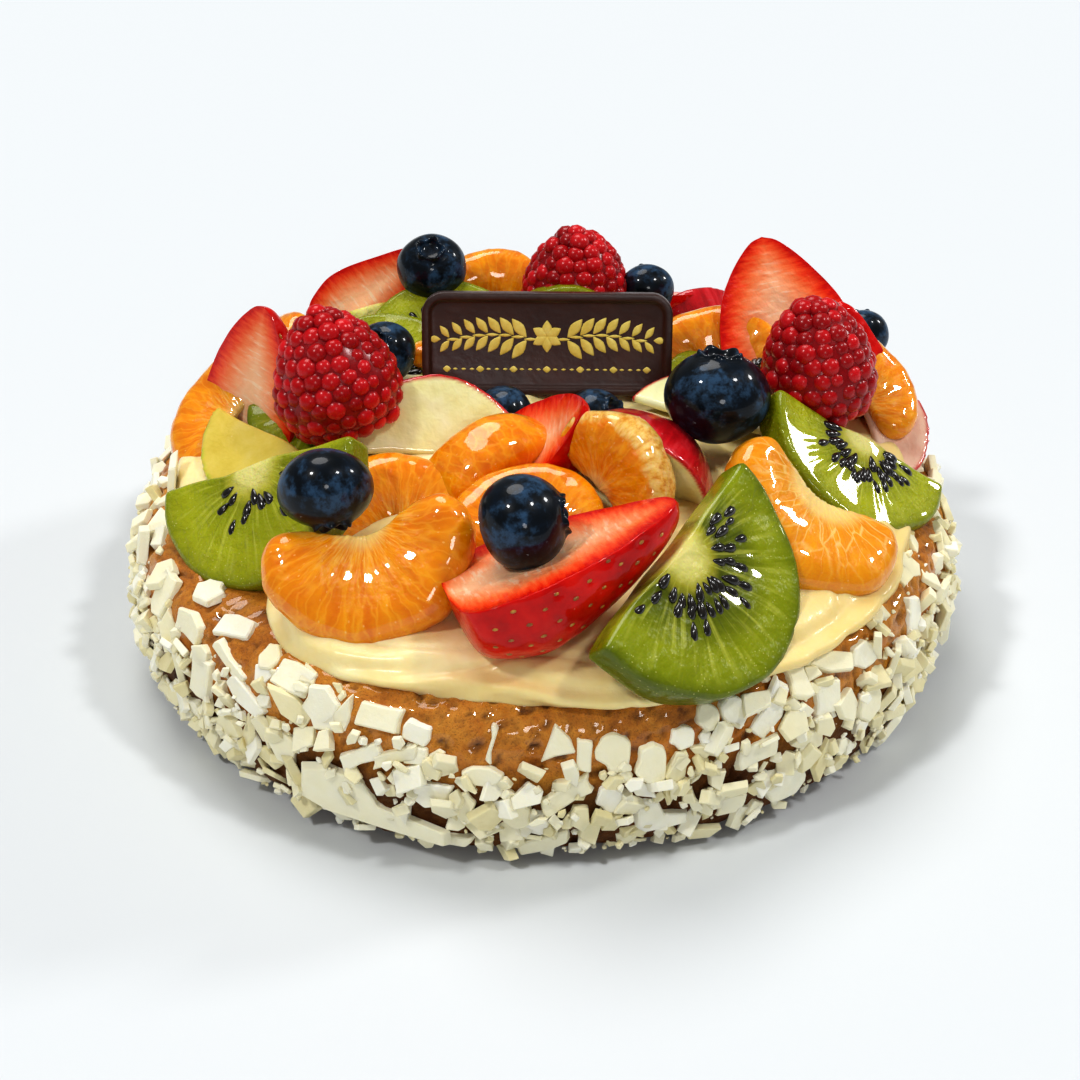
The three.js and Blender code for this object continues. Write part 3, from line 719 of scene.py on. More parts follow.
middling = small_flakes(640, (1.9, 4.2), (1.1, 2.1), 0.4, 1.4, 7)
small = small_flakes(680, (0.9, 2.1), (0.7, 1.4), 0.41, 2.0, 8)
crumbs = small_flakes(420, (0.35, 0.8), (0.4, 0.7), 0.5, 1.6, 9)
print("middling, small and crumb flakes:", middling, small, crumbs)

# %% [markdown]
# White chocolate is ivory, and no two flakes have quite the same tone, because some lie in the glaze and
# some have dried. Each flake carries one number for its tone, and a ramp turns that into a colour. A
# little light passes into the flakes, which softens their shadows.

# %% The flakes' finish
shard_mesh = mesh_from("shards", pile, outwards=False)
keep(shard_mesh, "tone", tones)
shard = Finish("white_chocolate")
tone = shard.attribute("tone")
where = shard.place()
smear = shard.cloud(where, 0.25, 3, 0.6)
ivory = shard.ramp(tone * 0.75 + smear * 0.35, [
    (0.1, "#E0D4A2"), (0.35, "#EFE6BE"), (0.7, "#F7F1D4"), (1.0, "#FCF9EA")])
shard_grain = shard.bump(shard.cloud(where, 1.1, 3, 0.6), 0.35, 0.35)
shard_material = shard.surface(
    ivory, 0.4 + smear * 0.2, shard_grain, specular_ior_level=0.3, subsurface_weight=0.2,
    subsurface_radius=(1, 0.85, 0.5), subsurface_scale=0.002)
finished("shards", shard_mesh, Matrix.Identity(4), shard_material)
for polygon in shard_mesh.polygons:
    polygon.use_smooth = False
print("shard faces:", len(shard_mesh.polygons))

# %% [markdown]
# ## Pastry cream
# The custard cream was spread with a knife. It slumps over the rim in front in a soft lip with a few
# folds, and is drawn in at the front left. The profile is spun and stretched to the cream's own outline,
# then gentle waves and knife marks are added as displacement.

# %% The cream
def bell(angle, centre, width):
    """1 at the centre and 0 far from it, on a circle of 360."""
    off = (angle - centre + 540) % 360 - 180
    return np.exp(-(off / width) ** 2)


def cream_edge(angle):
    """The cream's radius in mm at an angle in degrees, 0 at the right and -90 in front."""
    return (76.5 + 3.6 * bell(angle, -68, 36) - 11 * bell(angle, -145, 13)
            + 0.8 * np.sin(np.radians(5 * angle)) + 0.5 * np.sin(np.radians(9 * angle) + 1))


CREAM_FOOT = 27
CREAM_LINE = [(1, CREAM_FOOT), (1, 31.8), (0.992, 34.2), (0.955, 37.2), (0.89, 38.6), (0.78, 38.8),
              (0.6, 41.5), (0.3, 44), (0, 44)]
MARK_SPACING = 2.6
cream_profile = [(0, CREAM_FOOT), (0.5, CREAM_FOOT), *smooth_line(CREAM_LINE, 64)]
cream_mesh = mesh_from("cream", spun(cream_profile, 360, 1e-5))
cream_points = points_of(cream_mesh)
share = np.hypot(cream_points[:, 0], cream_points[:, 1])
angle = np.degrees(np.arctan2(cream_points[:, 1], cream_points[:, 0]))
cream_points[:, :2] *= cream_edge(angle)[:, None]
ripple = 0.7 * np.sin(np.radians(4 * angle) + 6 * share) + 0.5 * np.sin(np.radians(11 * angle))
above = np.clip((cream_points[:, 2] - CREAM_FOOT - 0.01) * 5, 0, 1)
cream_points[:, 2] += above * ripple * np.minimum(1, 3 * (1 - share) + 0.35)
move_points(cream_mesh, cream_points)
folds = np.sin(cream_points[:, 2] * 1.7 + 7 * lumps(cream_points, 30, 4)) * 0.4
knife = 6 * lumps(cream_points, 34, 8) + 26 * share
off_mark = knife - np.round(knife / MARK_SPACING) * MARK_SPACING
crease = -0.75 * np.exp(-(off_mark / 0.22) ** 2) * np.clip((share - 0.8) * 9, 0, 1)
high = cream_points[:, 2]
lip = 1.5 * np.exp(-((high - 33.6) / 1.5) ** 2) - 1.6 * np.clip(32 - high, 0, 1.4)
soft = 0.9 * lumps(cream_points, 11, 2) + 0.25 * lumps(cream_points, 4, 6)
outer = np.clip((share - 0.85) * 8, 0, 1)
front = bell(angle, -72, 46)
lift = above * np.clip((share - 0.6) * 6, 0, 1) * (outer * (folds + lip * front) + crease * front + soft)
move_points(cream_mesh, cream_points + normals_of(cream_mesh) * lift[:, None])
print("cream faces:", len(cream_mesh.polygons))

# %% [markdown]
# Custard cream is a warm, pale yellow that hardly varies. It is painted a little deeper at the right, which
# is painted shade. Most of its look is light that enters it and comes out again, so it has some subsurface
# light and only a faint shine.

# %% The cream's finish
cream = Finish("pastry_cream")
where = cream.place()
# painted shade: the cream is painted deeper towards the right
right = cream.split(where)[0].rise(15, 65)
custard = cream.ramp(cream.cloud(where, 0.07, 4, 0.6), [
    (0.3, "#EFD68E"), (0.5, "#F4E0A2"), (0.7, "#F9EBB8")])
custard = cream.mix(right * 0.6, custard, "#E2C478")
cream_material = cream.surface(
    custard, 0.4, cream.bump(cream.cloud(where, 0.45, 3, 0.5), 0.3, 0.6), specular_ior_level=0.3,
    subsurface_weight=0.3, subsurface_radius=(1, 0.75, 0.3), subsurface_scale=0.003, coat_weight=0.15,
    coat_roughness=0.12)
finished("cream", cream_mesh, Matrix.Identity(4), cream_material, ["pastry_cream"])
print("cream finished")

# %% [markdown]
# ## Kiwi
# A kiwi slice has a pale oval core, fine white rays, a ring of black drop-shaped seeds and a clear green
# flesh that darkens at the rim. A half disc is cut from a circle with a plane, given its thickness by
# extrusion and its soft edge by a bevel. Remeshed in small voxels it has enough points to bend a little,
# like wet fruit. The seeds are real: small flattened drops set round the core.

# %% A slice of kiwi
KIWI_BEND = (11, 0.9)


def kiwi_slice(radius=23.5, thick=7, oval=0.95, seed=0):
    edge = 1.1
    across = radius
    along = (radius - edge) * oval + edge
    bm = bmesh.new()
    bmesh.ops.create_circle(bm, cap_ends=True, segments=72, radius=1)
    bmesh.ops.scale(bm, vec=(across, along, 1), verts=bm.verts)
    bmesh.ops.bisect_plane(bm, geom=bm.verts[:] + bm.edges[:] + bm.faces[:], dist=1e-4,
                           plane_co=(0, -edge, 0), plane_no=(0, 1, 0), clear_inner=True)
    lowered = bmesh.ops.extrude_face_region(bm, geom=bm.faces[:])
    bottom = [v for v in lowered["geom"] if isinstance(v, bmesh.types.BMVert)]
    bmesh.ops.translate(bm, verts=bottom, vec=(0, 0, -thick))
    bmesh.ops.bevel(bm, geom=bm.edges[:], offset=0.9, offset_type="OFFSET", segments=2, profile=0.5,
                    affect="EDGES", material=-1)
    mesh = remeshed("kiwi", bm, 0.5)
    relaxed(mesh, 2)
    local = points_of(mesh)
    share = np.hypot(local[:, 0] / across, local[:, 1] / along)
    ring = np.arctan2(local[:, 1], local[:, 0])
    rays = 0.07 * np.sin(ring * 23 + 3 * np.sin(ring * 5 + seed)) * bell(share * 100, 55, 30)
    core = 0.35 * np.exp(-(share / 0.22) ** 2) - 0.3 * bell(share * 100, 36, 9)
    upper = np.clip(local[:, 2] + 1.5, 0, 1)
    lifted = local.copy()
    lifted[:, 2] += upper * (rays + core)
    move_points(mesh, wander(lifted, *KIWI_BEND, seed))
    keep(mesh, "local", local)
    keep(mesh, "share", share)
    return mesh


def kiwi_seeds(pile, matrix, radius, oval, seed, shown):
    """Three uneven rings of seeds. Where glaze hides some, only the share `shown` is made."""
    rng = random.Random(100 + seed)
    count = 15
    for i in range(count):
        for ring_share, chance in ((0.32, 0.75), (0.41, 0.85), (0.51, 0.6)):
            angle = (i + 0.1 + rng.random() * 0.8) / count * math.pi
            reach = (ring_share + 0.03 * rng.gauss(0, 1)) * radius
            if rng.random() > chance * shown:
                continue
            spot = np.array([[reach * math.cos(angle), reach * math.sin(angle) * oval, 0.0]])
            spot = Vector(wander(spot, *KIWI_BEND, seed)[0])
            size = 1.15 + 0.4 * rng.random()
            drop = bmesh.new()
            bmesh.ops.create_uvsphere(drop, u_segments=8, v_segments=6, radius=1)
            for vert in drop.verts:
                vert.co.x *= 0.55 + 0.28 * vert.co.z
                vert.co.y *= 0.42
            turn = (Matrix.Translation(spot - Vector((0, 0, 0.3)))
                    @ Matrix.Rotation(angle + rng.gauss(0, 0.12) - math.pi / 2, 4, "Z")
                    @ Matrix.Rotation(-math.pi / 2, 4, "X")
                    @ Matrix.Diagonal((1.15 * size, 1.1 * size, 1.35 * size, 1)))
            bmesh.ops.transform(drop, matrix=matrix @ turn, verts=drop.verts)
            pour(pile, drop)


print("kiwi slices can be cut")

# %% [markdown]
# The kiwi's colour is a ramp from the core to the rim, broken by rays that follow the angle round the core.
# Clear glaze lies over all the cut fruit. It is the coat of each finish, and a wavy bump breaks the lights
# in it into the small bright squiggles that wet fruit shows. All slices but two get a paler copy of the
# finish.

# %% The kiwi's finish
def glaze_waves(finish, where, strength=0.35, size=1, ridge=0.05):
    """Soft, uneven swells and thin winding ridges for a layer of clear jelly."""
    swells = finish.cloud(where, 0.16 / size, 2, 0.4)
    fine = finish.cloud(where, 0.6 / size, 2, 0.5)
    ridges = (swells - 0.5).maths("ABSOLUTE").rise(0.05, 0.0)
    return finish.bump(swells + fine * 0.3 + ridges * ridge, strength, 2.6 * size)


def kiwi_finish(name, stops, waves, size, ridge, coat):
    kiwi = Finish(name)
    local = kiwi.vector("local")
    x, y, _ = kiwi.split(local)
    blur = kiwi.cloud(local, 0.3, 2, 0.5) * 0.1 - 0.05
    share = kiwi.attribute("share") + blur
    ring = y.maths("ARCTAN2", x)
    flesh = kiwi.ramp(share, stops)
    spokes = kiwi.cloud(kiwi.joined(ring * 11, share * 1.4, 0), 1, 2, 0.6).rise(0.48, 0.68)
    spokes = spokes * share.rise(0.14, 0.3) * share.rise(0.98, 0.7)
    flesh = kiwi.mix(spokes * 0.6, flesh, "#BFC050")
    deep = kiwi.cloud(kiwi.joined(ring * 17, share * 2.5, 3), 1, 2, 0.6).rise(0.55, 0.75)
    deep = deep * share.rise(0.3, 0.42) * share.rise(0.85, 0.5)
    flesh = kiwi.mix(deep * 0.5, flesh, "#3F4C03")
    speck = kiwi.cells(local, 1.1).rise(0.2, 0.05)
    flesh = kiwi.mix(speck * share.rise(0.5, 0.8) * 0.6, flesh, "#D8D684")
    return kiwi.surface(
        flesh, 0.3, glaze_waves(kiwi, local, waves, size, ridge), specular_ior_level=0.1,
        subsurface_weight=0.3, subsurface_radius=(0.6, 1, 0.05), subsurface_scale=0.003, coat_weight=coat,
        coat_roughness=0.03)


kiwi_material = kiwi_finish("kiwi_flesh", [
    (0.0, "#E0D68A"), (0.15, "#D2CB74"), (0.24, "#A29C2C"), (0.33, "#565E04"), (0.5, "#626C06"),
    (0.72, "#8C940C"), (0.88, "#848E08"), (1.0, "#5E6A04")], 0.4, 1.3, 0.05, 0.55)
pale_kiwi_material = kiwi_finish("pale_kiwi_flesh", [
    (0.0, "#E4DA90"), (0.15, "#D8D07C"), (0.24, "#B2AC38"), (0.33, "#868A0C"), (0.5, "#90960E"),
    (0.72, "#A6AA18"), (0.88, "#9A9E14"), (1.0, "#7E840C")], 0.7, 0.42, 0.06, 0.45)

seed_finish = Finish("kiwi_seed")
seed_material = seed_finish.surface(
    seed_finish.ramp(seed_finish.cloud(seed_finish.place(), 1.2, 2), [(0.3, "#0B0906"), (0.8, "#241A10")]),
    0.22, coat_weight=0.4)
print("kiwi finish ready")

# %% [markdown]
# ## Mandarin
# A mandarin segment is a fat crescent, full of juice cells that run out from its inner edge, with a few
# white fibres there. A ball is bent round an arc and pinched to a wedge, which is how the real one is
# packed in its fruit. The cells and fibres are drawn in coordinates that bend with the crescent.

# %% A mandarin segment
def mandarin_segment(outer=21, inner=2.6, sweep=190, thick=14.5, seed=0, pith=0, peel=0):
    fullness = 2.6
    middle = (outer + inner) / 2
    half = (outer - inner) / 2
    bm = bmesh.new()
    bmesh.ops.create_uvsphere(bm, u_segments=72, v_segments=72, radius=1)
    mesh = mesh_from("mandarin", bm)
    ball = points_of(mesh)
    along = ball[:, 2]
    ring = np.maximum(np.hypot(ball[:, 0], ball[:, 1]), 1e-6)
    across = ball[:, 0] / ring
    side = ball[:, 1] / ring
    full = (1 - np.minimum(1, np.abs(along)) ** fullness) ** (1 / fullness)
    angle = -along * math.radians(sweep / 2)
    radius = middle + half * full * across
    flat = np.sign(side) * np.abs(side) ** 0.8
    local = np.stack([radius * np.sin(angle), radius * np.cos(angle),
                      thick / 2 * full * flat * (0.62 + 0.38 * across)], 1)
    move_points(mesh, local)
    bm = bmesh.new()
    bm.from_mesh(mesh)
    bmesh.ops.recalc_face_normals(bm, faces=bm.faces)
    bm.to_mesh(mesh)
    bm.free()
    arc = np.stack([angle * middle, radius, local[:, 2]], 1)
    cells = lumps(arc * np.array([1 / 1.3, 1 / 4.0, 1 / 2.0]), 1, 2 + seed)
    swell = 0.2 * cells + 0.5 * lumps(local, 7, seed)
    local_moved = wander(local + normals_of(mesh) * swell[:, None], 14, 0.8, seed)
    move_points(mesh, local_moved)
    keep(mesh, "local", local)
    keep(mesh, "arc", arc)
    keep(mesh, "share", radius / outer)
    keep(mesh, "pith", np.full(len(local), float(pith)))
    keep(mesh, "peel", np.full(len(local), float(peel)))
    return mesh


print("mandarin segments can be bent")

# %% [markdown]
# The pulp is a ramp over stretched cells, with lighter walls between them. White fibres spread from the
# inner edge and fade out towards the back. One segment shows a net of veins and one a dry husk, so each
# mesh carries two numbers that switch these on, and all segments can share the finish.

# %% The mandarin's finish
mandarin = Finish("mandarin_segment")
arc = mandarin.vector("arc")
local = mandarin.vector("local")
share = mandarin.attribute("share")
around, reach, up = mandarin.split(arc)
bend = mandarin.cloud(arc, 0.25, 2, 0.5) * 2.4
packed = mandarin.joined((around + bend) / 1.35, (reach + bend) / 8.0, up / 3.2)
walls = mandarin.cells(packed, 1, "DISTANCE_TO_EDGE").rise(0.14, 0.0)
juice = mandarin.cloud(packed, 0.8, 2, 0.5)
pulp = mandarin.ramp(juice, [(0.3, "#E27C00"), (0.5, "#EB8D00"), (0.7, "#F5A206")])
pulp = mandarin.mix(walls * 0.3, pulp, "#FFC038")
pulp = mandarin.mix(mandarin.attribute("pith") * 0.5, pulp, "#E29A04")
streaks = mandarin.cloud(mandarin.joined(around * 1.5, reach * 0.16, up * 0.5), 1, 3, 0.6)
fibre = streaks.rise(0.42, 0.7) * share.rise(0.75, 0.1)
pulp = mandarin.mix(fibre * 0.7, pulp, "#F8D070")
pith = share.rise(0.3, 0.12)
pulp = mandarin.mix(pith * 0.7, pulp, "#F3D88E")
net = mandarin.joined(around * 0.42 + bend * 0.3, reach * 0.12, up * 0.2)
veins = mandarin.cells(net, 1, "DISTANCE_TO_EDGE").rise(0.06, 0.0)
veins = (veins * share.rise(0.95, 0.5) * 0.8).maths("MAXIMUM", share.rise(0.44, 0.28))
pulp = mandarin.mix(veins * mandarin.attribute("pith") * 0.7, pulp, "#F5DC90")
husk = (share + mandarin.cloud(local, 0.3, 3, 0.6) * 0.3 - 0.15).rise(0.78, 0.88)
peel = mandarin.ramp(streaks, [(0.35, "#D08E30"), (0.5, "#EBC268"), (0.7, "#F6DE98")])
pulp = mandarin.mix(husk * mandarin.attribute("peel") * 0.85, pulp, peel)
fleck = mandarin.cells(mandarin.joined(around * 0.9, reach * 0.45, up), 1).rise(0.16, 0.05)
pulp = mandarin.mix(fleck * 0.4, pulp, "#FFD98A")
mandarin_material = mandarin.surface(
    pulp, 0.3, glaze_waves(mandarin, local, 0.3), specular_ior_level=0.1, subsurface_weight=0.25,
    subsurface_radius=(1, 0.6, 0.02), subsurface_scale=0.004, coat_weight=1.0, coat_roughness=0.03)
print("mandarin finish ready")

# %% [markdown]
# ## Strawberry
# Each strawberry was cut lengthwise. A smooth profile is spun round the berry's axis, and every point
# above the cut is pressed flat on to it, which leaves a face with a crisp red rim. The skin has dimples in
# a spiral, and a small golden seed in each of them. How far a point lies under the skin is kept as an
# attribute, because the flesh pales from the skin to the middle.

# %% Half a strawberry
GOLDEN_ANGLE = 2.399963
SEED_SPACING = 3.7
DIMPLE = 1.35
BERRY_BEND = (15, 0.7)
BERRY_PROFILE = [(0, 0), (0.36, 0.0), (0.8, 0.05), (1, 0.24), (0.96, 0.42), (0.78, 0.63), (0.5, 0.83),
                 (0.22, 0.96), (0, 1)]


def strawberry_half(long=36, wide=27, over=0, seed=0):
    line = [(r * wide / 2, (t - 0.5) * long) for r, t in smooth_line(BERRY_PROFILE, 72)]
    bm = spun(line, 110)
    bmesh.ops.rotate(bm, verts=bm.verts, cent=(0, 0, 0), matrix=Matrix.Rotation(-math.pi / 2, 3, "X"))
    mesh = mesh_from("strawberry", bm)
    body = points_of(mesh)
    radii = np.hypot(body[:, 0], body[:, 2])
    lumpy = 1 + 0.05 * lumps(body, 13, seed)
    body[:, 0] *= lumpy
    body[:, 2] *= lumpy
    move_points(mesh, body)
    normals = normals_of(mesh)
    tree = kdtree.KDTree(len(body))
    for i, p in enumerate(body):
        tree.insert(p, i)
    tree.balance()
    seeds = []
    rings, levels = zip(*BERRY_PROFILE[2:])
    turn = seed
    level = 0.07
    while level < 0.96:
        turn += GOLDEN_ANGLE
        ring = np.interp(level, levels, rings) * wide / 2
        spot = (ring * math.cos(turn), (level - 0.5) * long, ring * math.sin(turn))
        found, index, _ = tree.find(spot)
        level += SEED_SPACING ** 2 / (2 * math.pi * max(ring, 2.2) * long)
        if found.z > over - 0.9:
            continue
        for _, i, away in tree.find_range(found, DIMPLE):
            body[i] -= normals[i] * 0.42 * (1 - (away / DIMPLE) ** 2) ** 2
        seeds.append((Vector(body[index]), Vector(normals[index])))
    soft = 0.25
    height = body[:, 2] - over
    eased = np.where(height < -soft, height, -((height - soft) ** 2) / (4 * soft))
    pressed = np.where(height > soft, 0, eased)
    flat = height > 0
    across = np.sqrt(np.maximum(0, body[:, 0] ** 2 + over ** 2))
    depth = np.where(flat, np.maximum(0, radii - across), 0)
    body[:, 2] = pressed
    hollow = np.where(flat, -0.5 * np.clip(depth / (wide / 2), 0, 1) + 0.25 * lumps(body, 5, seed + 1), 0)
    keep(mesh, "local", body)
    keep(mesh, "depth", depth / (wide / 2))
    keep(mesh, "face", flat * 1.0)
    body[:, 2] += hollow
    move_points(mesh, wander(body, *BERRY_BEND, seed))
    placed = wander(np.array([s[0] for s in seeds]) - np.array([0, 0, over]), *BERRY_BEND, seed)
    return mesh, [(Vector(p), n) for p, (_, n) in zip(placed, seeds)]


def berry_seeds(pile, matrix, seeds, rng):
    """Lays a small flat drop in each dimple, along the berry."""
    for spot, normal in seeds:
        drop = bmesh.new()
        bmesh.ops.create_uvsphere(drop, u_segments=7, v_segments=5, radius=1)
        along = (Vector((0, 1, 0)) - normal * normal.y).normalized()
        turn = Matrix((along.cross(normal), along, normal)).transposed().to_4x4()
        size = 0.75 + 0.25 * rng.random()
        shape = Matrix.Diagonal((0.4 * size, 0.7 * size, 0.3 * size, 1))
        bmesh.ops.transform(drop, matrix=matrix @ Matrix.Translation(spot + normal * 0.08) @ turn @ shape,
                            verts=drop.verts)
        pour(pile, drop)


print("strawberries can be halved")

# %% [markdown]
# The cut face goes from a red rim to a pale heart, crossed by fine white streaks that run out to the seeds.
# The skin is a deep, blotched red. One attribute says which of the two a point belongs to, which keeps the
# edge between them crisp, and another how deep it lies.

# %% The strawberry's finish
berry = Finish("strawberry")
local = berry.vector("local")
x, y, _ = berry.split(local)
under = berry.attribute("depth")
streak = berry.cloud(berry.joined(x * 0.25, y * 1.1, 0), 1, 3, 0.6)
heart = under * 1.35 + (streak - 0.5) * 0.5 - 0.05
pink = berry.ramp(heart, [
    (0.0, "#C80E04"), (0.08, "#DE2A0C"), (0.25, "#EE5426"), (0.45, "#F4804A"), (0.7, "#F8A272"),
    (1.0, "#FAC298")])
vein = berry.cloud(berry.joined(x * 0.14, y * 0.75, 0), 1, 3, 0.6).rise(0.52, 0.64) * under.rise(0.25, 0.7)
pink = berry.mix(vein * 0.65, pink, "#FBDDBE")
blush = berry.cloud(local, 0.12, 3, 0.6)
skin = berry.ramp(blush, [(0.3, "#AC0402"), (0.5, "#CA0804"), (0.72, "#E21C0C")])
berry_colour = berry.mix(berry.attribute("face"), skin, pink)
berry_material = berry.surface(
    berry_colour, 0.3, glaze_waves(berry, local, 0.28), specular_ior_level=0.05, subsurface_weight=0.15,
    subsurface_radius=(1, 0.2, 0.1), subsurface_scale=0.003, coat_weight=0.45, coat_roughness=0.04)

berry_seed = Finish("strawberry_seed")
berry_seed_material = berry_seed.surface(
    berry_seed.ramp(berry_seed.cloud(berry_seed.place(), 0.5, 2), [(0.35, "#8A4E12"), (0.7, "#D09A34")]),
    0.3, coat_weight=0.5)
print("strawberry finish ready")

# %% [markdown]
# ## Apple
# The apple lies in thin wedges: pale flesh, the core cut out, a red or green skin at the back. A ball is
# cut by three planes, and the open cuts are filled. The same voxel remesh as for the kiwi softens the
# corners. A point is skin where it still lies on the ball.

# %% A wedge of apple
def apple_wedge(radius=27, core=5, wedge=24, long=0.92, seed=0):
    least = 1.6
    bm = bmesh.new()
    bmesh.ops.create_uvsphere(bm, u_segments=64, v_segments=48, radius=radius)
    bmesh.ops.rotate(bm, verts=bm.verts, cent=(0, 0, 0), matrix=Matrix.Rotation(math.pi / 2, 3, "Y"))
    bmesh.ops.scale(bm, verts=bm.verts, vec=(long, 1, 1))
    slope = math.tan(math.radians(wedge))
    cuts = [((0, 0, 0), (0, 0, 1)), ((0, core, 0), (0, -1, 0)),
            ((0, core, -least), (0, -slope * 2 * radius / (2 * radius - core), -1))]
    for spot, out in cuts:
        bmesh.ops.bisect_plane(bm, geom=bm.verts[:] + bm.edges[:] + bm.faces[:], dist=1e-4,
                               plane_co=spot, plane_no=out, clear_outer=True)
        bmesh.ops.holes_fill(bm, edges=[e for e in bm.edges if e.is_boundary], sides=0)
    mesh = remeshed("apple", bm, 0.55)
    relaxed(mesh, 2)
    local = points_of(mesh)
    whole = np.sqrt((local[:, 0] / long) ** 2 + local[:, 1] ** 2 + local[:, 2] ** 2)
    keep(mesh, "local", local)
    keep(mesh, "skin", np.clip((whole - radius + 1.1) / 0.5, 0, 1))
    move_points(mesh, wander(local, 13, 0.8, seed))
    return mesh


print("apples can be cut")

# %% [markdown]
# Apple flesh is cream white with faint specks, and turns yellow under glaze. The skin has streaks that run
# from stalk to flower. Wedges of three apples lie in the heap, so a function makes the finish and takes
# the colours of skin and flesh.

# %% The apples' finish
def apple_finish(name, skin_stops, flesh_tones=("#E9E7A2", "#F0F0B8", "#F7F7D4")):
    apple = Finish(name)
    local = apple.vector("local")
    x, y, z = apple.split(local)
    flesh = apple.ramp(apple.cloud(local, 0.12, 3, 0.6), [
        (0.3, flesh_tones[0]), (0.5, flesh_tones[1]), (0.75, flesh_tones[2])])
    vein = apple.cells(apple.joined(x * 0.5, y * 0.3, z * 0.5), 1).rise(0.12, 0.03)
    flesh = apple.mix(vein * 0.4, flesh, "#FBF6DC")
    band = apple.cloud(apple.joined(x * 0.5, z * 0.08, y * 0.08), 1, 3, 0.6)
    skin = apple.ramp(band, skin_stops)
    colour = apple.mix(apple.attribute("skin"), flesh, skin)
    return apple.surface(
        colour, 0.3, glaze_waves(apple, local, 0.22), specular_ior_level=0.1, subsurface_weight=0.15,
        subsurface_radius=(1, 1, 0.7), subsurface_scale=0.003, coat_weight=0.9, coat_roughness=0.03)


red_apple_material = apple_finish("red_apple", [(0.3, "#A80C14"), (0.5, "#C4141E"), (0.72, "#DC3A42")])
green_apple_material = apple_finish(
    "green_apple", [(0.3, "#A9B62E"), (0.5, "#C7C544"), (0.72, "#DDB84C")],
    ("#CFB844", "#DAC557", "#E4D277"))
pink_apple_material = apple_finish(
    "pink_apple", [(0.3, "#A81A20"), (0.5, "#C83A38"), (0.72, "#DE7058")],
    ("#E0A890", "#EBC4AC", "#F3DCC8"))
print("apple finishes ready")

# %% [markdown]
# ## Raspberry
# A raspberry is a cone of small round drupelets in staggered rings, with dark gaps between them. Each
# drupelet is its own small ball here, which gives real gaps. How far each point reaches out on its drupelet
# is kept, so that the finish can paint shade between the drupelets and on the core inside them.

# %% A raspberry
# each ring's radius and height, as shares of the berry's
RINGS = [(0.84, 0.0), (0.96, 0.12), (1.0, 0.25), (0.98, 0.38), (0.9, 0.505), (0.8, 0.625), (0.66, 0.74),
         (0.48, 0.845), (0.26, 0.93), (0, 0.98)]
BEAD = 2.3


def drupelets(wide, tall):
    """The centres of the small balls, in staggered rings."""
    centres = []
    for row, (share, level) in enumerate(RINGS):
        ring = share * (wide / 2 - BEAD)
        count = max(1, round(2 * math.pi * ring / (BEAD * 1.36)))
        for i in range(count):
            angle = (i + 0.5 * (row % 2)) / count * 2 * math.pi
            centres.append(Vector((
                ring * math.cos(angle), ring * math.sin(angle), (level - 0.5) * (tall - 2 * BEAD))))
    return centres


def raspberry(wide=23.5, tall=22, seed=0):
    rng = random.Random(300 + seed)
    core = [(share * (wide / 2 - BEAD) + 1.5, (level - 0.5) * (tall - 2 * BEAD))
            for share, level in RINGS]
    bm = spun([(0, core[0][1]), *smooth_line(core[:-1], 24), (0, core[-1][1])], 32)
    crevice_shade_values = [0.0] * len(bm.verts)
    hues = [0.5] * len(bm.verts)
    for centre in drupelets(wide, tall):
        outward = Vector((centre.x, centre.y, centre.z * 0.75)).normalized()
        drop = bmesh.new()
        bmesh.ops.create_icosphere(drop, subdivisions=2, radius=1)
        size = BEAD * (0.92 + 0.16 * rng.random())
        spot = centre + Vector([0.2 * rng.gauss(0, 1) for _ in range(3)])
        # how far each point reaches out on its drupelet, for the painted shade in the crevices
        crevice_shade_values += [v.co.dot(outward) for v in drop.verts]
        hues += [rng.random()] * len(drop.verts)
        turn = outward.to_track_quat("Z", "Y").to_matrix().to_4x4()
        shape = Matrix.Diagonal((size, size, size * (0.88 + 0.14 * rng.random()), 1))
        bmesh.ops.transform(drop, matrix=Matrix.Translation(spot) @ turn @ shape @ turn.transposed(),
                            verts=drop.verts)
        pour(bm, drop)
    mesh = mesh_from("raspberry", bm, outwards=False)
    keep(mesh, "local", points_of(mesh))
    keep(mesh, "mark", crevice_shade_values)
    keep(mesh, "hue", hues)
    return mesh


print("drupelets on a raspberry:", len(drupelets(23.5, 22)))

# %% [markdown]
# No two drupelets are quite the same red, so each carries its own hue. Where one meets its neighbours it
# is painted darker, which is painted shade, and so is the core between them. Raspberries are dull beside
# the glazed fruit, with a soft shine on each drupelet, so the coat is thin and rather rough.

# %% The raspberry's finish
rasp = Finish("raspberry")
local = rasp.vector("local")
mark = rasp.attribute("mark")
hue = rasp.attribute("hue")
crimson = rasp.ramp(hue * 0.6 + rasp.cloud(local, 0.3, 2) * 0.4, [
    (0.2, "#98040C"), (0.5, "#B80812"), (0.8, "#D01822")])
# painted shade: dark red where drupelets meet and on the core between them
crimson = rasp.mix(mark.rise(0.6, 0.25) * 0.6, crimson, "#6E020B")
rasp_material = rasp.surface(
    crimson, 0.3, rasp.bump(rasp.cloud(local, 1.6, 2), 0.2, 0.3), specular_ior_level=0.15,
    subsurface_weight=0.3, subsurface_radius=(1, 0.1, 0.1), subsurface_scale=0.002, coat_weight=0.4,
    coat_roughness=0.2, coat_tint=(1, 0.75, 0.75, 1))
print("raspberry finish ready")

# %% [markdown]
# ## Blueberry
# A blueberry is a slightly flattened ball with a crater and a five-lobed crown. The skin is almost black
# with a patchy, chalky bloom that glaze has half wiped off. A profile is spun, and the crown is pulled
# into lobes.

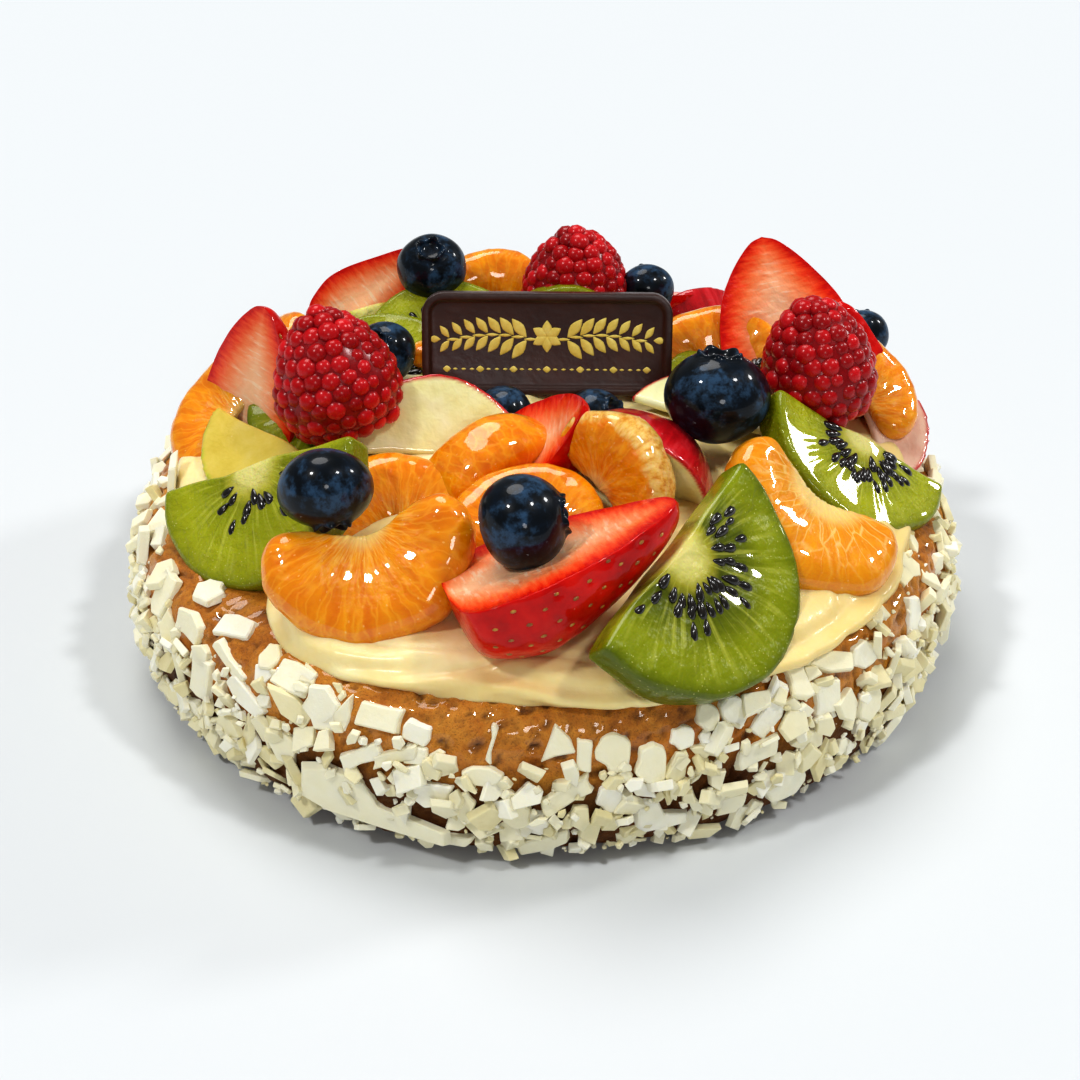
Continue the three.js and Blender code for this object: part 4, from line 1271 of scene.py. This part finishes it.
# %% A blueberry
def blueberry(radius=8.5, flat=0.9, seed=0):
    levels = [-90, -70, -50, -30, -10, 10, 30, 48, 60]
    ball = [(radius * math.cos(math.radians(a)), radius * flat * math.sin(math.radians(a))) for a in levels]
    crown = [(0.42, 0.9), (0.385, 0.965), (0.33, 0.955), (0.27, 0.84), (0.17, 0.79), (0, 0.775)]
    line = smooth_line(ball, 46) + smooth_line([(r * radius, z * radius * flat) for r, z in crown], 22)
    mesh = mesh_from("blueberry", spun(line, 80))
    local = points_of(mesh)
    reach = np.hypot(local[:, 0], local[:, 1])
    ring = np.arctan2(local[:, 1], local[:, 0])
    near_lip = np.exp(-((reach / radius - 0.37) / 0.07) ** 2) * (local[:, 2] > 0)
    lobes = np.cos(5 * ring + seed)
    local[:, 2] += near_lip * (0.32 * lobes + 0.1) * radius / 8.5
    local[:, :2] *= (1 + 0.1 * near_lip * lobes)[:, None]
    keep(mesh, "local", local)
    keep(mesh, "crown", np.clip(1 - reach / radius / 0.42, 0, 1) * (local[:, 2] > 0))
    move_points(mesh, wander(local, radius, 0.05 * radius, seed))
    return mesh


print("blueberries can be grown")

# %% [markdown]
# The bloom is a thin, pale wax. It shows as blue-grey patches, where it also dulls the shine, and bare
# skin between them mirrors the lamps. Two clouds multiplied give patches with rubbed edges.

# %% The blueberry's finish
blue = Finish("blueberry")
local = blue.vector("local")
crown = blue.attribute("crown")
haze = blue.cloud(local, 0.16, 4, 0.65)
rub = blue.cloud(local, 0.55, 3, 0.7)
bloom = haze.rise(0.45, 0.62) * rub.rise(0.3, 0.6)
navy = blue.ramp(blue.cloud(local, 0.35, 2), [(0.3, "#02070C"), (0.6, "#06121E"), (0.8, "#0B1E30")])
navy = blue.mix(bloom * 0.62, navy, "#3C5F80")
navy = blue.mix(crown.rise(0.1, 0.5) * 0.6, navy, "#0A0D14")
blue_material = blue.surface(
    navy, 0.35 + bloom * 0.3, blue.bump(rub, 0.15, 0.3), specular_ior_level=0.1, coat_weight=0.4,
    coat_roughness=0.07)
print("blueberry finish ready")

# %% [markdown]
# ## Setting out the heap
# Each piece is listed with the place of its own origin in millimetres, then the turn, tilt and spin of its
# face: turn is the compass direction that it looks to, 0 at the front and 90 at the right, tilt is how far
# it looks up, and spin turns it in its own plane. These match the solids.

# %% What lies on the cream
BERRIES = [
    ("raspberry_left", (-41.2, -3.5, 59.4), (-120, 75, 0), {"wide": 26, "tall": 26}),
    ("raspberry_right", (54.1, 0.5, 60), (-140, 79, 0), {"wide": 24, "tall": 26}),
    ("raspberry_back", (7.4, 46.5, 56.6), (0, 88, 0), {"wide": 24.5, "tall": 24}),
    ("blueberry_front", (-3.3, -61, 58.6), (95, 10, 0), {"radius": 8.5}),
    ("blueberry_left", (-38.6, -45.4, 56), (15, -50, 0), {"radius": 8.7, "flat": 0.84}),
    ("blueberry_right", (33.8, -12, 57), (170, 76, 0), {"radius": 10.1}),
    ("blueberry_back_left", (-24.3, 49.7, 57), (0, 60, 0), {"radius": 7.7}),
    ("blueberry_back_right", (23, 46.5, 52.6), (180, 30, 0), {"radius": 6.2}),
    ("blueberry_right_edge", (68.9, 32, 49), (180, 30, 0), {"radius": 5.7}),
    ("blueberry_beside_plaque", (-33.2, 21.3, 50), (-20, 50, 0), {"radius": 6.8}),
    ("blueberry_rear", (-29, 67, 44.5), (170, 45, 0), {"radius": 7.2}),
    # the two low blueberries lie in the deep shade under the plaque; dark berries were put there to show
    # that shade
    ("blueberry_low_left", (-8, 3, 44.5), (-40, 30, 0), {"radius": 6.5}),
    ("blueberry_low_right", (11, 2, 44.5), (60, 40, 0), {"radius": 6.5}),
]
STRAWBERRIES = [
    ("strawberry_front", (3.4, -61.4, 54), (-115, 70, 40), {"long": 43, "wide": 29, "over": 1}),
    ("strawberry_middle", (-1.8, -17.2, 49.7), (-78, 36, -26), {"long": 31.8, "wide": 24.6}),
    ("strawberry_left", (-58.8, 5.9, 51.4), (-42, 12, -7), {"long": 32.4, "wide": 26}),
    ("strawberry_tall", (50.2, 27.4, 57), (9, 42, 8), {"long": 32.6, "wide": 29}),
    ("strawberry_back_left", (-38.5, 57, 48), (-5, 30, -48), {"long": 29, "wide": 17}),
    ("strawberry_right", (62.5, 22, 49.5), (150, 10, 0), {"long": 26, "wide": 24}),
    ("strawberry_behind_plaque", (21, 27, 46.5), (175, 70, 80), {"long": 30, "wide": 22}),
    ("strawberry_rear", (33, 64, 44), (165, 66, 130), {"long": 33, "wide": 23}),
]
KIWIS = [
    ("kiwi_front", (24, -62.5, 53.4), (45, 43, -161), {"radius": 24.8, "oval": 1.08}),
    ("kiwi_left", (-54.5, -26.5, 49.5), (-44, 44, -143), {"radius": 22.5, "oval": 1.05, "seeds": 0.3}),
    ("kiwi_right", (62.9, -11.8, 47.5), (54, 50, 123), {"radius": 21}),
    ("kiwi_under_raspberry", (-44, 3, 46.5), (-5, 58, 180), {"radius": 16, "seeds": 0}),
    ("kiwi_back_low", (-34.5, 24, 42), (-5, 60, 15), {"radius": 19}),
    ("kiwi_back_high", (-22, 33.5, 46), (-5, 58, 5), {"radius": 18}),
    ("kiwi_behind_plaque", (5, 31.5, 44.8), (0, 12, 0), {"radius": 15}),
    ("kiwi_low_right", (42, 12, 47), (10, 74, 30), {"radius": 18}),
    ("kiwi_rear_left", (-40, 52, 46), (-145, 52, 180), {"radius": 20}),
    ("kiwi_rear_right", (50, 48, 45), (132, 52, 190), {"radius": 19}),
]
MANDARINS = [
    ("mandarin_front", (-32.3, -50.5, 52.7), (-11, 33, -160), {"outer": 22.8}),
    ("mandarin_right", (52.8, -32.9, 48.5), (30, 49, 125), {"outer": 22, "pith": 1}),
    ("mandarin_middle", (10.5, -28.5, 46), (-30, 28, -32), {"outer": 15.5, "inner": 0.8, "peel": 1}),
    ("mandarin_heap", (-8.5, -15.5, 36.5), (38, -12, 37), {"outer": 19, "thick": 18}),
    ("mandarin_low", (-27, -34, 38), (0, 60, 15), {"outer": 18}),
    ("mandarin_left_edge", (-61, 4, 43), (-60, 50, 95), {"outer": 18.5}),
    ("mandarin_back", (-11, 56, 40.6), (0, 40, 0), {"outer": 17}),
    ("mandarin_back_right", (37, 20, 44), (-10, 50, 15), {"outer": 17}),
    ("mandarin_right_edge", (64, 6.5, 47), (62, 48, -78), {"outer": 16}),
    ("mandarin_low_front", (-2, -42, 42.5), (0, 74, 5), {"outer": 17.5}),
    ("mandarin_behind_plaque", (-14, 27, 46), (180, 66, 175), {"outer": 18}),
    ("mandarin_rear", (8, 62, 46), (180, 50, 170), {"outer": 18}),
    ("mandarin_rear_left", (-58, 34, 45), (-112, 50, 175), {"outer": 19}),
]
APPLES = [
    ("apple_middle", (-21, -14, 39.5), (8, 36, -5), {"radius": 21}),
    ("apple_red", (15, -22, 38.8), (180, -36, 32), {"radius": 19.2, "wedge": 60}),
    ("apple_left", (-50, -2.5, 47), (-45, 68, 180), {"radius": 21, "wedge": 20}),
    ("apple_back", (-11, 61.6, 36.4), (0, 30, 0), {"radius": 18}),
    ("apple_back_right", (33, 61, 33), (-160, 20, 0), {"radius": 18}),
    ("apple_right_edge", (62, 7, 43.5), (40, 60, -110), {"radius": 20}),
    ("apple_low_right", (33, -6, 45.5), (0, 74, -20), {"radius": 20}),
    ("apple_rear_left", (-40, 25, 48), (-130, 58, 175), {"radius": 22}),
]
print("pieces on the cream:", sum(map(len, (BERRIES, STRAWBERRIES, KIWIS, MANDARINS, APPLES))))

# %% Berries
for seed, (name, at, pose, sizes) in enumerate(BERRIES):
    if name.startswith("raspberry"):
        mesh, material, slot = raspberry(**sizes, seed=seed), rasp_material, "raspberry"
    else:
        mesh, material, slot = blueberry(**sizes, seed=seed), blue_material, "blueberry"
    finished(name + "_fruit", mesh, placing(at, *pose), material, [name])
print("berries placed:", len(BERRIES))

# %% Strawberries and their seeds
pile = bmesh.new()
rng = random.Random(55)
for seed, (name, at, pose, sizes) in enumerate(STRAWBERRIES):
    mesh, seeds = strawberry_half(**sizes, seed=seed)
    berry_seeds(pile, placing(at, *pose), seeds, rng)
    finished(name + "_fruit", mesh, placing(at, *pose), berry_material, [name])
seed_mesh = mesh_from("strawberry_seeds", pile, outwards=False)
finished("strawberry_seeds", seed_mesh, Matrix.Identity(4), berry_seed_material)
print("strawberries and seed faces:", len(STRAWBERRIES), len(seed_mesh.polygons))

# %% Kiwi slices and their seeds
pile = bmesh.new()
for seed, (name, at, pose, sizes) in enumerate(KIWIS):
    shown = sizes.pop("seeds", 1)
    mesh = kiwi_slice(**sizes, seed=seed)
    kiwi_seeds(pile, placing(at, *pose), sizes["radius"], sizes.get("oval", 0.95), seed, shown)
    material = kiwi_material if name in ("kiwi_front", "kiwi_under_raspberry") else pale_kiwi_material
    finished(name + "_fruit", mesh, placing(at, *pose), material, [name])
seed_mesh = mesh_from("kiwi_seeds", pile, outwards=False)
finished("kiwi_seeds", seed_mesh, Matrix.Identity(4), seed_material)
print("kiwi slices and seed faces:", len(KIWIS), len(seed_mesh.polygons))

# %% Mandarin segments and apple wedges
for seed, (name, at, pose, sizes) in enumerate(MANDARINS):
    mesh = mandarin_segment(**sizes, seed=seed)
    finished(name + "_fruit", mesh, placing(at, *pose), mandarin_material, [name])
for seed, (name, at, pose, sizes) in enumerate(APPLES):
    mesh = apple_wedge(**sizes, seed=seed)
    material = red_apple_material
    if name in ("apple_left", "apple_rear_left"):
        material = green_apple_material
    if name == "apple_right_edge":
        material = pink_apple_material
    finished(name + "_fruit", mesh, placing(at, *pose), material, [name])
print("segments and wedges:", len(MANDARINS), len(APPLES))

# %% [markdown]
# ## The plaque
# The plaque is a thin tablet of dark chocolate with a raised, rounded rim. A square is stretched, its
# corners are rounded with a vertex bevel, and the plate is extruded. An inset makes the rim, and the panel
# inside it is pushed down. On the panel lies a gilt ornament: two leafy sprigs and a rule of small beads.

# %% The tablet
WIDE, TALL, THICK, CORNER, RIM, SUNK = 51.5, 21, 3.8, 4.5, 1.5, 0.7
bm = bmesh.new()
bmesh.ops.create_grid(bm, x_segments=1, y_segments=1, size=0.5)
bmesh.ops.scale(bm, verts=bm.verts, vec=(WIDE, TALL, 1))
bmesh.ops.bevel(bm, geom=bm.verts[:], offset=CORNER, offset_type="OFFSET", segments=10, profile=0.5,
                affect="VERTICES", material=-1)
lowered = bmesh.ops.extrude_face_region(bm, geom=bm.faces[:])
bottom = [v for v in lowered["geom"] if isinstance(v, bmesh.types.BMVert)]
bmesh.ops.translate(bm, verts=bottom, vec=(0, 0, -THICK))
bmesh.ops.recalc_face_normals(bm, faces=bm.faces)
front = max(bm.faces, key=lambda f: f.calc_center_median().z)
bmesh.ops.inset_region(bm, faces=[front], thickness=RIM, depth=0, use_even_offset=True)
bmesh.ops.inset_region(bm, faces=[front], thickness=0.45, depth=-SUNK, use_even_offset=True)
sharp = [e for e in bm.edges if len(e.link_faces) == 2 and e.calc_face_angle(0) > 0.6]
bmesh.ops.bevel(bm, geom=sharp, offset=0.32, offset_type="OFFSET", segments=3, profile=0.5,
                affect="EDGES", material=-1)
tablet_mesh = mesh_from("tablet", bm)
keep(tablet_mesh, "local", points_of(tablet_mesh))
dark = Finish("dark_chocolate")
local = dark.vector("local")
cocoa = dark.ramp(dark.cloud(local, 0.09, 4, 0.6), [(0.3, "#2E130A"), (0.55, "#3A1A0E"), (0.8, "#472517")])
dark_material = dark.surface(
    cocoa, 0.42 - dark.cloud(local, 0.2, 3) * 0.12, dark.bump(dark.cloud(local, 0.5, 3), 0.25, 0.3),
    coat_weight=0.15, coat_roughness=0.3)
PLAQUE_PLACE = placing((1, 14.5, 55.2), -1, 18, 0)
finished("tablet", tablet_mesh, PLAQUE_PLACE, dark_material, ["plaque"])
print("tablet faces:", len(tablet_mesh.polygons))

# %% The gilt ornament
LEAVES = 7
LEAF_STEP = 2.65
BEAD_STEP = 1.72
RULE_LEVEL = -5.2


def leaf(pile, at, angle, long, wide):
    """A flat almond leaf, a little higher in the middle."""
    drop = bmesh.new()
    bmesh.ops.create_uvsphere(drop, u_segments=16, v_segments=8, radius=1)
    for vert in drop.verts:
        taper = max(0.0, 1 - abs(vert.co.x) ** 1.6)
        vert.co.y *= 0.35 + 0.65 * taper
    shape = Matrix.Diagonal((long / 2, wide / 2, 0.16, 1))
    turn = Matrix.Rotation(math.radians(angle), 4, "Z")
    shift = Matrix.Translation((long / 2, 0, 0))
    bmesh.ops.transform(drop, verts=drop.verts,
                        matrix=Matrix.Translation((at[0], at[1], 0.02 - SUNK)) @ turn @ shift @ shape)
    pour(pile, drop)


pile = bmesh.new()
for side in (-1, 1):
    for i in range(LEAVES):
        x = 4.2 + i * LEAF_STEP
        y = 1.1 + 0.9 * math.sin(i * 0.55)
        facing = 0 if side > 0 else 180
        size = 1 - 0.06 * i
        leaf(pile, (side * x, y + 0.25), facing + side * 52, 4.9 * size, 2.25 * size)
        leaf(pile, (side * x, y - 0.25), facing - side * 52, 4.9 * size, 2.25 * size)
        leaf(pile, (side * (x - 2.3), y - 0.1), facing, 2.9, 0.7)
    leaf(pile, (side * 21.9, 0.9), 0 if side > 0 else 180, 2.6, 1.5)
for i in range(6):
    leaf(pile, (0, 1.6), i * 60 + 30, 3.3, 2.1)
for i in range(-12, 13):
    long, wide = (1.7, 1.4) if i % 4 == 0 else (1.0, 0.5)
    leaf(pile, (i * BEAD_STEP - long / 2, RULE_LEVEL), 0, long, wide)
gilt_mesh = mesh_from("gilt_sprigs", pile, outwards=False)
gilt = Finish("gilt")
gold = gilt.ramp(gilt.cloud(gilt.place(), 0.6, 3), [(0.3, "#E4CC58"), (0.6, "#F2DE72"), (0.8, "#F8EA92")])
gilt_material = gilt.surface(gold, 0.45, metallic=0.1)
finished("gilt_sprigs", gilt_mesh, PLAQUE_PLACE, gilt_material)
print("ornament faces:", len(gilt_mesh.polygons))

# %% [markdown]
# ## The floor
# A wide pale floor without an edge in sight. It isn't part of the tart, so it is marked as stage.

# %% The floor
bm = bmesh.new()
bmesh.ops.create_grid(bm, x_segments=1, y_segments=1, size=6)
floor_mesh = mesh_from("floor", bm, outwards=False)
floor = Finish("floor")
floor_mesh.materials.append(floor.surface("#D6D9DB", 0.9, specular_ior_level=0.2))
floor_piece = bpy.data.objects.new("floor", floor_mesh)
bpy.context.scene.collection.objects.link(floor_piece)
floor_piece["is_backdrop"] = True
print("floor faces:", len(floor_mesh.polygons))

# %% The end: the size of the solids and of the visual model
visual_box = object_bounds()
sizes = {"cad": [list(v) for v in cad_box], "visual": [list(v) for v in visual_box]}
print("size of the solids and the visual model:", sizes)
